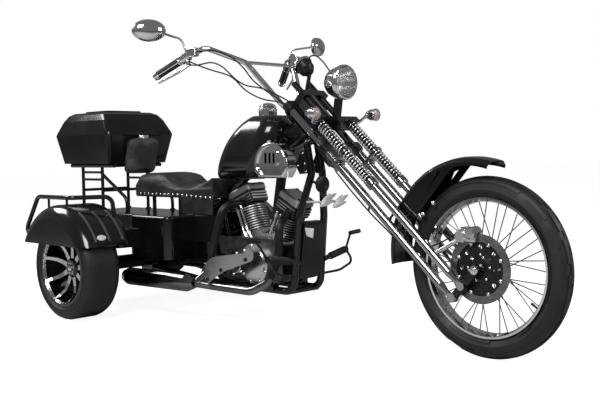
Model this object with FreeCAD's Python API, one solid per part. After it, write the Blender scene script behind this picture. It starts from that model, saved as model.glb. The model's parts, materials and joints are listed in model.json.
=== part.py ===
"""Motorized trike: a raked V-twin chopper with two wide rear wheels and a tail box.

Frame: +X forward, +Y left, +Z up. The origin is on the ground, midway between the
front of the front tyre and the back of the tail box. Lengths are in millimetres.
"""
import FreeCAD, Part
import math
import os

os.makedirs("parts", exist_ok=True)
V = FreeCAD.Vector

# ---------------------------------------------------------------- driving sizes
WHEELBASE = 2000.0
SHORT_WHEELBASE = 2000.0       # wheelbase at which the stretch below adds nothing
STRETCH = (100.0, 560.0)       # ahead of the rear axle: what lies forward of it keeps to the front wheel
FIT = 0.3                      # gap left at a seat between two pieces

# front wheel
FRONT_TYRE_R = 347.5
FRONT_TYRE_W = 92.0
FRONT_RIM_R = 267.0
FRONT_RIM_W = 66.0
FRONT_HUB_R = 32.0
FRONT_HUB_W = 96.0
SPOKE_COUNT = 36
SPOKE_D = 4.4
AXLE_D = 16.0
DISC_R = 132.0
DISC_T = 5.0
DISC_Y = -58.0                 # right side of the wheel

# rear wheels
REAR_TYRE_R = 248.5
REAR_TYRE_W = 200.0
REAR_RIM_R = 186.0
REAR_TRACK = 1110.0
REAR_DISH = 78.0               # spoke face behind the outer face of the tyre
REAR_SPOKES = 9
REAR_HUB_R = 48.0
REAR_SPOKE_START = 5.0         # degrees, first spoke above the forward line
STUB_R = 18.0                  # stub shaft that runs in the axle housing
STUB_L = 34.0
HUB_GAP = 5.0                  # hub to axle housing

# steering and fork
RAKE = 48.4                    # degrees from the vertical
AXLE_LEAD = 207.0              # front axle ahead of the steering axis
FORK_DROP = 858.0              # lower clamp to front axle, along the fork
CLAMP_SPAN = 282.0             # lower clamp to top clamp
CLAMP_T = 36.0
LEG_LEAD = 55.0                # fixed legs ahead of the steering axis
ROD_LEAD = 119.0               # spring legs ahead of the steering axis
LEG_Y = 97.0
LEG_D = 34.0
ROD_D = 16.0
SPRING_D = 50.0
HEAD_D = 62.0                  # steering head tube
STEM_D = 30.0

# tail box
BOX_REAR = 756.0               # back of the box behind the rear axle
BOX_L = 545.0
BOX_W = 440.0
BOX_BASE_Z = 748.0
BOX_BELT_Z = 905.0
BOX_TOP_Z = 1030.0
BOX_WALL = 5.0
BOX_TAPER = (43.0, 40.0, 27.0)   # base inside the belt: rear, front, each side
BOX_CORNER = 28.0

# rear body: two low decks beside a raised centre, and a box ahead of the wheels
DECK_Z = 430.0
CENTRE_Z = 485.0
CENTRE_W = 360.0
BODY_W = 770.0
BODY_REAR = 600.0              # behind the rear axle
BODY_FRONT = 100.0             # ahead of the rear axle
BODY_SKIN = 5.0
BODY_LOW_Z = 330.0
NOSE_FRONT = 395.0             # front box
NOSE_W = 600.0
NOSE_TOP = 495.0
NOSE_LOW = 285.0

# rear fenders
ARCH_R = 337.0
ARCH_AHEAD = -50.0
ARCH_Z = 220.0
ARCH_LOW = 365.0               # cut-off height of the skirts
ARCH_OUT_Y = (REAR_TRACK + REAR_TYRE_W) / 2 + 14.0
ARCH_INNER_ROUND = 50.0
ARCH_OUTER_ROUND = 68.0
FENDER_SKIN = 4.0
GUARD_D = 22.0

# frame
RAIL_Z = 168.0
RAIL_Y = 95.0
RAIL_D = 34.0
AXLE_RAIL_Y = 115.0            # where the rails pass under the axle
DOWN_Y = 80.0                  # downtubes, beside the front cover
NECK_Y = 34.0                  # downtubes, near the head
DOWN_D = 34.0
SUB_Z = 450.0                  # upper rails under the saddle and box
BACKBONE_D = 45.0
SADDLE_LOW = 575.0

# ---------------------------------------------------------------- places worked out
AXLE_X = -(WHEELBASE + FRONT_TYRE_R - BOX_REAR) / 2.0
FRONT_X = AXLE_X + WHEELBASE
rake = math.radians(RAKE)
UP = V(-math.sin(rake), 0, math.cos(rake))       # up along the steering axis
LEAD = V(math.cos(rake), 0, math.sin(rake))      # forward, square to that axis
FRONT_AXLE = V(FRONT_X, 0, FRONT_TYRE_R)
HEAD = FRONT_AXLE - LEAD * AXLE_LEAD + UP * FORK_DROP   # lower clamp on the axis
FORK_PLACE = FreeCAD.Placement(HEAD, FreeCAD.Rotation(V(0, 1, 0), -RAKE))


def save(shape, name):
    """Write one node."""
    shape.exportStep(os.path.join("parts", name + ".step"))
    print(name, len(shape.Solids), round(shape.Volume / 1000), "cm3", shape.isValid())


def along(ahead):
    """World x of a place ahead of the rear axle; a longer wheelbase is taken up within the stretch."""
    share = min(max((ahead - STRETCH[0]) / (STRETCH[1] - STRETCH[0]), 0.0), 1.0)
    return AXLE_X + ahead + (WHEELBASE - SHORT_WHEELBASE) * share


def at(ahead, y, z):
    """A point measured from the middle of the rear axle, on the ground."""
    return V(along(ahead), y, z)


def fork_point(lead, y, s):
    """A point given ahead of the steering axis, across, and up from the lower clamp."""
    return HEAD + LEAD * lead + V(0, y, 0) + UP * s


def in_fork(shape):
    """Put a shape drawn in the fork's own axes into the trike."""
    placed = shape.copy()
    placed.Placement = FORK_PLACE.multiply(placed.Placement)
    return placed


def block(x0, x1, y0, y1, z0, z1):
    return Part.makeBox(x1 - x0, y1 - y0, z1 - z0, V(x0, y0, z0))


def rod(p, q, diameter):
    """A round bar from p to q."""
    return Part.makeCylinder(diameter / 2.0, (q - p).Length, p, q - p)


def ball(p, diameter):
    return Part.makeSphere(diameter / 2.0, p)


def fuse(shapes):
    """Join overlapping shapes to one solid."""
    return shapes[0].fuse(shapes[1:]).removeSplitter()


def mirrored(shape):
    return shape.mirror(V(0, 0, 0), V(0, 1, 0))


def pair(shape):
    """A shape and its mirror image on the other side, as two solids."""
    return Part.makeCompound([shape, mirrored(shape)])


def bent_path(points, bend):
    """Straight runs joined by tangent arcs of radius bend."""
    edges = []
    start = points[0]
    for before, corner, after in zip(points, points[1:], points[2:]):
        a = (before - corner).normalize()
        b = (after - corner).normalize()
        half = a.getAngle(b) / 2.0
        setback = min(bend / math.tan(half), 0.45 * (before - corner).Length,
                      0.45 * (after - corner).Length)
        radius = setback * math.tan(half)
        p, q = corner + a * setback, corner + b * setback
        centre = corner + (a + b).normalize() * (radius / math.sin(half))
        middle = centre + (corner - centre).normalize() * radius
        edges.append(Part.LineSegment(start, p).toShape())
        edges.append(Part.Arc(p, middle, q).toShape())
        start = q
    edges.append(Part.LineSegment(start, points[-1]).toShape())
    return Part.Wire(edges)


def tube(points, diameter, bend=60.0):
    """A bent round bar along the points."""
    if len(points) == 2:
        return rod(points[0], points[1], diameter)
    path = bent_path(points, bend)
    ring = Part.Wire(Part.makeCircle(diameter / 2.0, points[0], points[1] - points[0]))
    return path.makePipeShell([ring], True, False)


def plate(outline, y0, y1):
    """An outline of (x, z) corners, extruded across from y0 to y1."""
    wire = Part.makePolygon([V(x, y0, z) for x, z in outline + outline[:1]])
    return Part.Face(wire).extrude(V(0, y1 - y0, 0))


def revolve(profile, centre, axis, quadrant=V(0, 0, 1)):
    """Turn a closed (along, radius) profile about an axis through centre."""
    axis = V(axis).normalize()
    out = (quadrant - axis * quadrant.dot(axis)).normalize()
    corners = [centre + axis * a + out * r for a, r in profile + profile[:1]]
    return Part.Face(Part.makePolygon(corners)).revolve(centre, axis, 360)


def rounded(x0, x1, y0, y1, z, radius):
    """A rectangle with round corners, level at z."""
    r = radius
    k = r * (1 - math.sqrt(0.5))
    corner = [
        (V(x1 - r, y0, z), V(x1 - k, y0 + k, z), V(x1, y0 + r, z)),
        (V(x1, y1 - r, z), V(x1 - k, y1 - k, z), V(x1 - r, y1, z)),
        (V(x0 + r, y1, z), V(x0 + k, y1 - k, z), V(x0, y1 - r, z)),
        (V(x0, y0 + r, z), V(x0 + k, y0 + k, z), V(x0 + r, y0, z)),
    ]
    edges = []
    for i, (p, m, q) in enumerate(corner):
        edges.append(Part.Arc(p, m, q).toShape())
        edges.append(Part.LineSegment(q, corner[(i + 1) % 4][0]).toShape())
    return Part.Wire(edges)


# ---------------------------------------------------------------- wheels
def front_wheel():
    """Tyre, laced rim with hub and axle, and brake disc."""
    c = FRONT_AXLE
    across = V(0, 1, 0)
    half = FRONT_TYRE_W / 2.0
    bead = FRONT_RIM_R + 1.0
    crown = V(0, 0, FRONT_TYRE_R)
    arc = Part.Arc(c + V(0, -half, bead + 30), c + crown, c + V(0, half, bead + 30)).toShape()
    in_half = FRONT_RIM_W / 2.0 - 8
    well = FRONT_RIM_R - 10 + FIT
    corners = [c + V(0, half, bead + 30), c + V(0, in_half + 2, bead), c + V(0, in_half, well),
               c + V(0, -in_half, well), c + V(0, -in_half - 2, bead), c + V(0, -half, bead + 30)]
    section = Part.Wire([arc] + Part.makePolygon(corners).Edges)
    tyre = Part.Face(section).revolve(c, across, 360)
    w = FRONT_RIM_W / 2.0
    r = FRONT_RIM_R
    rim = revolve([(-w, r + FIT), (-w, r - 8), (-w + 14, r - 16), (w - 14, r - 16), (w, r - 8),
                   (w, r + FIT), (w - 5, r + FIT), (in_half + 1, r - 10), (-in_half - 1, r - 10),
                   (-w + 5, r + FIT)], c, across)
    hub_w = FRONT_HUB_W / 2.0
    bore = AXLE_D / 2 + FIT
    hub = revolve([(-hub_w, bore), (-hub_w, 20), (-hub_w + 12, 20), (-hub_w + 14, FRONT_HUB_R + 12),
                   (-hub_w + 20, FRONT_HUB_R + 12), (-hub_w + 26, FRONT_HUB_R - 8),
                   (hub_w - 26, FRONT_HUB_R - 8), (hub_w - 20, FRONT_HUB_R + 12),
                   (hub_w - 14, FRONT_HUB_R + 12), (hub_w - 12, 20), (hub_w, 20), (hub_w, bore)],
                  c, across)
    pieces = [rim, hub]
    for i in range(SPOKE_COUNT):
        side = -1 if i % 2 else 1
        a = 2 * math.pi * i / SPOKE_COUNT
        lean = (1 if i % 4 < 2 else -1) * math.radians(38)
        root = V(math.cos(a + lean) * (FRONT_HUB_R + 6), side * (hub_w - 17),
                 math.sin(a + lean) * (FRONT_HUB_R + 6))
        tip = V(math.cos(a) * (r - 13), side * 6, math.sin(a) * (r - 13))
        pieces.append(rod(c + root, c + tip, SPOKE_D))
    wheel = fuse(pieces)
    disc = Part.makeCylinder(DISC_R, DISC_T, c + V(0, DISC_Y - DISC_T / 2, 0), across)
    disc = disc.cut(Part.makeCylinder(DISC_R - 30, DISC_T * 3, c + V(0, DISC_Y - DISC_T, 0), across))
    ears = []
    for i in range(8):
        a = math.radians(45 * i + 22)
        ear = V(math.cos(a), 0, math.sin(a)) * (DISC_R - 33) + c + V(0, DISC_Y - DISC_T / 2, 0)
        ears.append(Part.makeCylinder(9, DISC_T, ear, across))
    disc = fuse([disc] + ears)
    face_y = DISC_Y + DISC_T / 2 + FIT
    plate_r = DISC_R - 26
    carrier = Part.makeCylinder(plate_r, 4, c + V(0, face_y, 0), across)
    for count, where, size in ((8, plate_r - 24, 9), (8, plate_r - 50, 6)):
        for i in range(count):
            a = math.radians(360.0 * i / count)
            hole = c + V(math.cos(a) * where, face_y - 5, math.sin(a) * where)
            carrier = carrier.cut(Part.makeCylinder(size, 20, hole, across))
    carrier = carrier.fuse(Part.makeCone(40, 52, 5, c + V(0, face_y - 5, 0), across))
    carrier = carrier.fuse(Part.makeCylinder(40, 18, c + V(0, face_y, 0), across))
    carrier = carrier.cut(Part.makeCylinder(20 + FIT, 60, c + V(0, DISC_Y - 30, 0), across)).cut(wheel)
    return tyre, wheel, disc, carrier


def rear_wheel(side):
    """Wide tyre and deep-dish rim with blade spokes; side is -1 on the right."""
    c = V(AXLE_X, side * REAR_TRACK / 2.0, REAR_TYRE_R)
    out = V(0, side, 0)
    half = REAR_TYRE_W / 2.0
    R, r = REAR_TYRE_R, REAR_RIM_R
    shoulder = 42.0
    tyre = revolve([(-half + 18, r), (-half, r + 22), (-half, R - shoulder),
                    (-half + shoulder * 0.35, R - shoulder * 0.3), (-half + shoulder, R),
                    (half - shoulder, R), (half - shoulder * 0.35, R - shoulder * 0.3),
                    (half, R - shoulder), (half, r + 22), (half - 18, r)], c, out)
    lip = half - 12
    skin = 7.0
    barrel = revolve([(-lip, r - FIT), (-lip, r - 14), (-lip + 12, r - 14 - skin), (lip - 12, r - 14 - skin),
                      (lip, r - 14), (lip, r - FIT)], c, out)
    face = half - REAR_DISH
    disc = revolve([(face - 26, 0), (face - 26, REAR_HUB_R), (face - 16, r - 18), (face - 6, r - 18),
                    (face - 10, REAR_HUB_R), (face + 6, REAR_HUB_R), (face + 14, REAR_HUB_R - 10),
                    (face + 14, 0)], c, out)
    hub = Part.makeCylinder(REAR_HUB_R, face - 20 + half - 20, c + out * (-half + 20), out)
    stub = Part.makeCylinder(STUB_R, STUB_L + 5, c + out * (-half + 20 - STUB_L), out)
    rim = [barrel, disc, hub, stub]
    top = r - 14
    curve = [(REAR_HUB_R - 10, face + 4), (REAR_HUB_R + 42, face + 6), (r - 62, face + 14), (r - 38, face + 36),
             (top - 4, lip - 2), (top - 4, lip - 22), (r - 40, face + 10), (r - 64, face - 8),
             (REAR_HUB_R - 10, face - 20)]
    wedge = [(REAR_HUB_R - 11, 13), (top - 3, 7), (top - 3, -7), (REAR_HUB_R - 11, -13)]
    side_on = [V(x, z, 0) for x, z in curve]
    from_out = [V(x, 0, z) for x, z in wedge]
    blade = Part.Face(Part.makePolygon(side_on + side_on[:1])).extrude(V(0, 0, 30))
    blade.translate(V(0, 0, -15))
    blade = blade.common(Part.Face(Part.makePolygon(from_out + from_out[:1])).extrude(V(0, half, 0)))
    if side < 0:
        blade = blade.mirror(V(0, 0, 0), V(0, 1, 0))
    for i in range(REAR_SPOKES):
        one = blade.copy()
        one.rotate(V(0, 0, 0), V(0, 1, 0), -(REAR_SPOKE_START + 360.0 * i / REAR_SPOKES))
        one.translate(c)
        rim.append(one)
    return tyre, fuse(rim)


# ---------------------------------------------------------------- fork
def fork_pieces():
    """The springer fork in its own axes: x ahead of the steering axis, z up it."""
    top = CLAMP_SPAN
    tip = -FORK_DROP
    nodes = {}
    leg_low = tip + 70
    leg = Part.makeCylinder(LEG_D / 2, top + CLAMP_T / 2 + 8 - leg_low, V(LEG_LEAD, LEG_Y, leg_low))
    leg = leg.fuse(Part.makeCone(9, LEG_D / 2, 48, V(LEG_LEAD, LEG_Y, leg_low - 48)))
    eye = Part.makeCylinder(18, 14, V(LEG_LEAD, LEG_Y - 7, tip), V(0, 1, 0))
    shank = block(LEG_LEAD - 9, LEG_LEAD + 9, LEG_Y - 7, LEG_Y + 7, tip, leg_low - 40)
    fixed = fuse([leg, shank, eye])
    spring_low = -272.0
    rod_top = 112.0
    lower = Part.makeCylinder(LEG_D / 2, spring_low - 26 - leg_low, V(ROD_LEAD, LEG_Y, leg_low))
    lower = lower.fuse(Part.makeCone(9, LEG_D / 2, 48, V(ROD_LEAD, LEG_Y, leg_low - 48)))
    collar = Part.makeCylinder(SPRING_D / 2, 26, V(ROD_LEAD, LEG_Y, spring_low - 26))
    guide = Part.makeCylinder(ROD_D / 2, rod_top - spring_low, V(ROD_LEAD, LEG_Y, spring_low))
    eye = Part.makeCylinder(16, 14, V(ROD_LEAD, LEG_Y - 7, tip), V(0, 1, 0))
    shank = block(ROD_LEAD - 9, ROD_LEAD + 9, LEG_Y - 7, LEG_Y + 7, tip, leg_low - 40)
    nodes["fork_spring_legs"] = pair(fuse([lower, collar, guide, shank, eye]))
    seat_z = -97.0
    perch_z = 86.0
    seat_t = 10.0
    coils = []
    for low, high in ((spring_low, seat_z - seat_t / 2), (seat_z + seat_t / 2, perch_z)):
        coils.append(coil(ROD_LEAD, LEG_Y, low, high))
    nodes["fork_springs"] = Part.makeCompound(coils + [mirrored(c) for c in coils])
    hole = ROD_D / 2 + FIT
    ear = plate_z([(LEG_LEAD - 4, -30), (ROD_LEAD + 10, -24), (ROD_LEAD + 10, 24), (LEG_LEAD - 4, 30)],
                  LEG_Y, seat_z, seat_t)
    ear = ear.fuse(Part.makeCylinder(30, seat_t, V(ROD_LEAD, LEG_Y, seat_z - seat_t / 2)))
    ear = ear.fuse(Part.makeCylinder(LEG_D / 2 + 9, 26, V(LEG_LEAD, LEG_Y, seat_z - 13)))
    ear = ear.cut(Part.makeCylinder(hole, 60, V(ROD_LEAD, LEG_Y, seat_z - 30)))
    nodes["fork_fixed_legs"] = pair(fuse([fixed, ear]))
    # clamps
    lower_clamp = clamp(0.0, LEG_LEAD + LEG_D / 2 + 10)
    stem = Part.makeCylinder(STEM_D / 2, top, V(0, 0, 0))
    nodes["fork_lower_clamp"] = fuse([lower_clamp, stem])
    upper_reach = ROD_LEAD + 26
    upper = clamp(top, LEG_LEAD + LEG_D / 2 + 10)
    upper = upper.fuse(block(0, upper_reach, -74, 74, top - CLAMP_T / 2, top + CLAMP_T / 2))
    for y in (-TOWER_Y, TOWER_Y):
        upper = upper.fuse(Part.makeCylinder(19, RISER_H, V(RISER_LEAD, y, top + CLAMP_T / 2)))
        upper = upper.fuse(Part.makeCylinder(TOWER_D / 2, TOWER_TOP - perch_z - 8, V(ROD_LEAD + 4, y, perch_z + 8)))
    upper = upper.cut(Part.makeCylinder(STEM_D / 2 + FIT, CLAMP_T / 2 + 1, V(0, 0, top - CLAMP_T / 2 - 1)))
    nodes["fork_top_clamp"] = upper.removeSplitter()
    # perch for springs, lamp and signals
    perch = block(ROD_LEAD - 30, ROD_LEAD + 32, -LEG_Y - 30, LEG_Y + 30, perch_z, perch_z + 24)
    for y in (-LEG_Y, LEG_Y):
        perch = perch.cut(Part.makeCylinder(hole, 80, V(ROD_LEAD, y, perch_z - 20)))
    for y in (-TOWER_Y, TOWER_Y):
        perch = perch.cut(Part.makeCylinder(TOWER_D / 2 + FIT, 80, V(ROD_LEAD + 4, y, perch_z + 8)))
    nodes["spring_perch"] = perch
    # rockers
    link_y = LEG_Y - 7 - FIT
    link = block(LEG_LEAD, AXLE_LEAD, link_y - 12, link_y, tip - 15, tip + 15)
    for lead in (LEG_LEAD, ROD_LEAD, AXLE_LEAD):
        link = link.fuse(Part.makeCylinder(19, 12, V(lead, link_y - 12, tip), V(0, 1, 0)))
    spindle = Part.makeCylinder(AXLE_D / 2, 2 * (link_y + 10), V(AXLE_LEAD, -link_y - 10, tip), V(0, 1, 0))
    nodes["fork_rockers"] = fuse([link, mirrored(link), spindle])
    return nodes


TOWER_Y = 47.0
TOWER_D = 28.0
TOWER_TOP = 372.0
RISER_LEAD = 8.0
RISER_H = 22.0


def plate_z(outline, y_mid, z_mid, thickness):
    """A level plate with the outline's (x, y) corners about y_mid."""
    points = [V(x, y_mid + y, z_mid - thickness / 2) for x, y in outline + outline[:1]]
    return Part.Face(Part.makePolygon(points)).extrude(V(0, 0, thickness))


def clamp(s, front):
    """A fork clamp: two leg bosses and a bridge through the steering axis."""
    half = CLAMP_T / 2
    body = plate_z([(-30, -34), (LEG_LEAD, -LEG_Y - 20), (front, -LEG_Y - 12), (front, LEG_Y + 12),
                    (LEG_LEAD, LEG_Y + 20), (-30, 34)], 0, s, CLAMP_T)
    for y in (-LEG_Y, LEG_Y):
        body = body.fuse(Part.makeCylinder(LEG_D / 2 + 10, CLAMP_T, V(LEG_LEAD, y, s - half)))
    body = body.fuse(Part.makeCylinder(36, CLAMP_T, V(0, 0, s - half)))
    for y in (-LEG_Y, LEG_Y):
        body = body.cut(Part.makeCylinder(LEG_D / 2 + FIT, CLAMP_T + 20, V(LEG_LEAD, y, s - half - 10)))
    return body.removeSplitter()


def coil(x, y, low, high, wire=8.0):
    """A closely wound spring as one turned body with a groove for each turn."""
    turns = int((high - low) / (wire * 1.7))
    pitch = (high - low) / turns
    outer, inner = SPRING_D / 2, ROD_D / 2 + 4
    profile = [(low, inner)]
    for i in range(turns):
        z = low + i * pitch
        profile += [(z, outer - wire * 0.6), (z + pitch * 0.3, outer), (z + pitch * 0.7, outer)]
    profile += [(high, outer - wire * 0.6), (high, inner)]
    return revolve(profile, V(x, y, 0), V(0, 0, 1), V(1, 0, 0))


# ---------------------------------------------------------------- bars and what they carry
BAR_D = 25.0
GRIP_D = 36.0
BAR_FOOT = fork_point(RISER_LEAD, 55, CLAMP_SPAN + CLAMP_T / 2 + RISER_H + BAR_D / 2)
# name, ahead of the rear axle, across, height
BAR_POINTS = (
    ("upright", 822, 152, 1205),
    ("elbow", 690, 280, 1276),
    ("grip_start", 588, 340, 1222),
    ("grip_end", 478, 405, 1152),
)


def bar_tube(extra=0.0):
    """The bent bar from grip end to grip end."""
    left = [BAR_FOOT] + [at(x, y, z) for _, x, y, z in BAR_POINTS]
    right = [V(p.x, -p.y, p.z) for p in left]
    return tube(list(reversed(right)) + left, BAR_D + extra, 55.0)


def handlebar():
    left = [BAR_FOOT] + [at(x, y, z) for _, x, y, z in BAR_POINTS]
    bar = bar_tube()
    cross = rod(V(left[1].x, -left[1].y, left[1].z), left[1], 16.0)
    grip_dir = (left[4] - left[3]).normalize()
    sleeve = Part.makeCylinder(GRIP_D / 2, (left[4] - left[3]).Length + 4 - 6, left[3] + grip_dir * 6, grip_dir)
    bore = Part.makeCylinder(BAR_D / 2 + FIT, (left[4] - left[3]).Length - 6, left[3] + grip_dir * 6, grip_dir)
    grip = sleeve.cut(bore)
    return fuse([bar, cross]), pair(grip)


def hand_controls():
    """Switch housing, lever clamp and lever on each side."""
    elbow = at(*BAR_POINTS[1][1:])
    start = at(*BAR_POINTS[2][1:])
    end = at(*BAR_POINTS[3][1:])
    along = (end - start).normalize()
    housing = Part.makeCylinder(23, 44, start - along * 46, along)
    housing = housing.fuse(Part.makeCylinder(8, 30, start - along * 24, V(0.5, 0, -0.5)))
    pivot = start - along * 20 + V(34, 0, -34)
    lever = fuse([rod(start - along * 20, pivot, 18), tube([pivot, pivot + along * 60 + V(12, 8, -4),
                  end + V(34, 6, -30)], 10, 40)])
    tank = block(start.x + 40, start.x + 98, start.y - 30, start.y + 2, start.z + 12, start.z + 52)
    tank = tank.makeFillet(6, tank.Edges)
    neck = rod(start - along * 24, V(start.x + 69, start.y - 14, start.z + 20), 20)
    body = fuse([housing, lever, tank, neck])
    body = body.cut(bar_tube(2 * FIT))
    body = body.cut(rod(start + along * 5.5, end + along * 10, GRIP_D + 2))
    return pair(max(body.Solids, key=lambda s: s.Volume)), start - along * 30


MIRROR_AT = (612, 532, 1340)
MIRROR_W = 142.0
MIRROR_H = 92.0


def mirrors(foot):
    """An oval mirror on a curved stem, turned in towards the rider."""
    centre = at(*MIRROR_AT)
    head = Part.Ellipse(V(0, 0, 0), MIRROR_W / 2, MIRROR_H / 2)
    face = Part.Face(Part.Wire(head.toShape()))
    glass = face.extrude(V(0, 0, 20))
    turn = FreeCAD.Rotation(V(0, 0, 1), 25).multiply(FreeCAD.Rotation(V(1, 0, 0), 90)) \
        .multiply(FreeCAD.Rotation(V(0, 1, 0), 90))
    glass.Placement = FreeCAD.Placement(centre, turn)
    base = foot + V(0, 0, 23)
    stem = tube([base, base + V(6, 30, 55), centre + V(12, -70, -8), centre + V(10, -10, 0)], 10, 40)
    return pair(fuse([glass, stem]))


LAMP_AT = (1248, 0, 1092)
LAMP_R = 76.0


def headlamp():
    c = at(*LAMP_AT)
    shell = revolve([(-62, 0), (-60, 24), (-44, 48), (-16, 66), (24, LAMP_R - 4), (30, LAMP_R), (48, LAMP_R),
                     (52, LAMP_R - 8), (60, 40), (64, 0)], c, V(1, 0, 0))
    foot = fork_point(ROD_LEAD + 18, 0, 104)
    post = Part.makeLoft([wire_rect(foot, 14, 13), wire_rect(V(c.x + 2, 0, c.z - LAMP_R + 12), 15, 12)], True)
    post = post.cut(shell)
    return shell, post


def wire_rect(c, half_x, half_y):
    return Part.makePolygon([c + V(-half_x, -half_y, 0), c + V(half_x, -half_y, 0), c + V(half_x, half_y, 0),
                             c + V(-half_x, half_y, 0), c + V(-half_x, -half_y, 0)])


def turn_signals():
    inner = fork_point(ROD_LEAD + 4, LEG_Y + 30 + FIT, 98)
    lamp = at(1276, 194, 955)
    stem = tube([inner, inner + V(0, 20, 0), lamp + V(-8, -26, 0)], 14, 20)
    bowl = revolve([(-34, 0), (-30, 16), (-8, 25), (18, 26), (26, 24), (34, 12), (36, 0)], lamp, V(1, 0, 0))
    return pair(fuse([stem, bowl]))


GAUGE_AT = (1055, 0, 1168)
GAUGE_R = 42.0


def gauge():
    c = at(*GAUGE_AT)
    face_dir = V(-0.75, 0, 0.66)
    cup = revolve([(-34, 0), (-30, 22), (-10, GAUGE_R - 6), (24, GAUGE_R - 2), (24, GAUGE_R), (34, GAUGE_R),
                   (34, GAUGE_R - 5), (30, GAUGE_R - 6), (30, 0)], c, face_dir)
    foot = fork_point(70, 0, CLAMP_SPAN + CLAMP_T / 2 + FIT)
    post = rod(foot, c - V(face_dir).normalize() * 30, 18)
    cutter = in_fork(block(-200, 400, -200, 200, -200, CLAMP_SPAN + CLAMP_T / 2 + FIT))
    return fuse([cup, post.cut(cutter)])


FENDER_R = 384.0
FENDER_SHIFT = V(-58, 0, 37)
FRONT_FENDER_W = 128.0


def front_fender():
    """A curved blade with side skirts over the back of the front wheel."""
    c = FRONT_AXLE + FENDER_SHIFT
    R, skin, skirt, half = FENDER_R, 3.5, 34.0, FRONT_FENDER_W / 2
    section = [(-half, R - skirt), (-half, R - 22), (-half + 20, R - 5), (-18, R), (18, R), (half - 20, R - 5),
               (half, R - 22), (half, R - skirt), (half - skin, R - skirt), (half - skin, R - 22 - skin),
               (half - 21, R - 5 - skin), (17, R - skin), (-17, R - skin), (-half + 21, R - 5 - skin),
               (-half + skin, R - 22 - skin), (-half + skin, R - skirt)]
    corners = [c + V(0, y, r) for y, r in section + section[:1]]
    face = Part.Face(Part.makePolygon(corners))
    face.rotate(c, V(0, 1, 0), 15.5)
    blade = face.revolve(c, V(0, -1, 0), 113.5)
    def out(angle, r, y=0.0):
        a = math.radians(angle)
        return c + V(math.cos(a) * r, y, math.sin(a) * r)
    edge = [(113, R - 26), (126, R - 25), (140, R - 25), (154, R - 26), (154, R - 62), (142, R - 84),
            (128, R - 84), (118, R - 60), (113, R - 34)]
    panel = Part.makePolygon([out(a, r, half - skin) for a, r in edge + edge[:1]])
    panel = Part.Face(panel).extrude(V(0, skin, 0))
    foot = fork_point(LEG_LEAD, half - 4, -505)
    strap = [out(98, R - 24, half - 6), out(106, R - 24, half - 6), foot + V(-12, -2, 6), foot + V(12, -2, -6)]
    strap = Part.Face(Part.makePolygon(strap + strap[:1])).extrude(V(0, 4, 0))
    brackets = [panel, strap, rod(foot - V(0, 4, 0), foot + V(0, 26, 0), 14)]
    for angle, s in ((128, -430), (150, -560)):
        a = math.radians(angle)
        on = c + V(math.cos(a) * (R - 20), half - 1, math.sin(a) * (R - 20))
        foot = fork_point(LEG_LEAD, LEG_Y - LEG_D / 2 - 12, s)
        brackets.append(rod(on, foot, 10).fuse(rod(foot - V(0, 4, 0), foot + V(0, 14, 0), 14)))
    one = fuse([blade] + brackets + [mirrored(b) for b in brackets])
    for y in (-LEG_Y, LEG_Y):
        one = one.cut(rod(fork_point(LEG_LEAD, y, 0), fork_point(LEG_LEAD, y, -900), LEG_D + 2 * FIT))
    return max(one.Solids, key=lambda s: s.Volume)


def caliper():
    """Brake caliper on the right, behind the disc's top, on its bracket to the leg."""
    c = FRONT_AXLE + V(-42, DISC_Y, DISC_R - 4)
    body = block(c.x - 36, c.x + 36, c.y - 24, c.y + 24, c.z - 30, c.z + 28)
    body = body.makeFillet(10, body.Edges)
    for dx, dz, r in ((-26, -8, 25), (16, 8, 23)):
        low = V(c.x + dx, c.y + 22, c.z + dz)
        body = body.fuse(Part.makeCylinder(r, 52, low, V(0, -1, 0)))
        body = body.fuse(Part.makeCone(r, r - 5, 5, low - V(0, 52, 0), V(0, -1, 0)))
    body = body.cut(Part.makeCylinder(DISC_R - 20, 40, FRONT_AXLE + V(0, DISC_Y - 7.5, 0), V(0, 1, 0)))
    body = body.cut(Part.makeCylinder(DISC_R + 5, DISC_T + 10, FRONT_AXLE + V(0, DISC_Y - DISC_T / 2 - 5, 0),
                                      V(0, 1, 0)))
    leg = fork_point(ROD_LEAD, -LEG_Y, -690)
    arm = rod(leg, c + V(0, -17, 0), 18)
    body = fuse([body, arm])
    body = body.cut(rod(fork_point(ROD_LEAD, -LEG_Y, -300), fork_point(ROD_LEAD, -LEG_Y, -800), LEG_D + 2 * FIT))
    return max(body.Solids, key=lambda s: s.Volume)


# ---------------------------------------------------------------- frame and engine
ENGINE_AHEAD = 800.0
CASE_Y = 118.0
CASE_Z0 = 205.0
CASE_Z1 = 400.0
CASE_BACK = 195.0              # behind the crank
CASE_FRONT = 200.0             # ahead of the crank
# root ahead of the rear axle, root height, lean from the vertical, half length of the head
CYLINDERS = ((778.0, 270.0, -22.0, 80.0), (815.0, 258.0, 27.0, 66.0))
BARREL_R = 58.0
FIN_R = 68.0
FIN_LOW = 130.0
HEAD_LOW = 292.0
COVER_LOW = 352.0
COVER_TOP = 385.0
HEAD_HALF_Y = 57.0
AXLE_TUBE_D = 70.0
TUNNEL_HALF = 34.5             # half width of the slot under the tank
SPINE = ((880.0, 800.0), (585.0, 652.0), (470.0, 540.0), (330.0, SUB_Z + 40.0))
TANK_BUSHINGS = (700.0, 850.0)  # ahead of the rear axle
PEG_IN = V(1062, 130, 312)     # ahead, across, height of the left peg's root
PEG_OUT = V(1048, 250, 332)
SADDLE_POSTS = (20.0, 240.0)


def head_shell():
    low = CLAMP_T / 2 + 6
    high = CLAMP_SPAN - CLAMP_T / 2 - 6
    head = Part.makeCylinder(HEAD_D / 2, high - low, V(0, 0, low))
    return in_fork(head), in_fork(Part.makeCylinder(STEM_D / 2 + 1, CLAMP_SPAN, V(0, 0, 0)))


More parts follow.
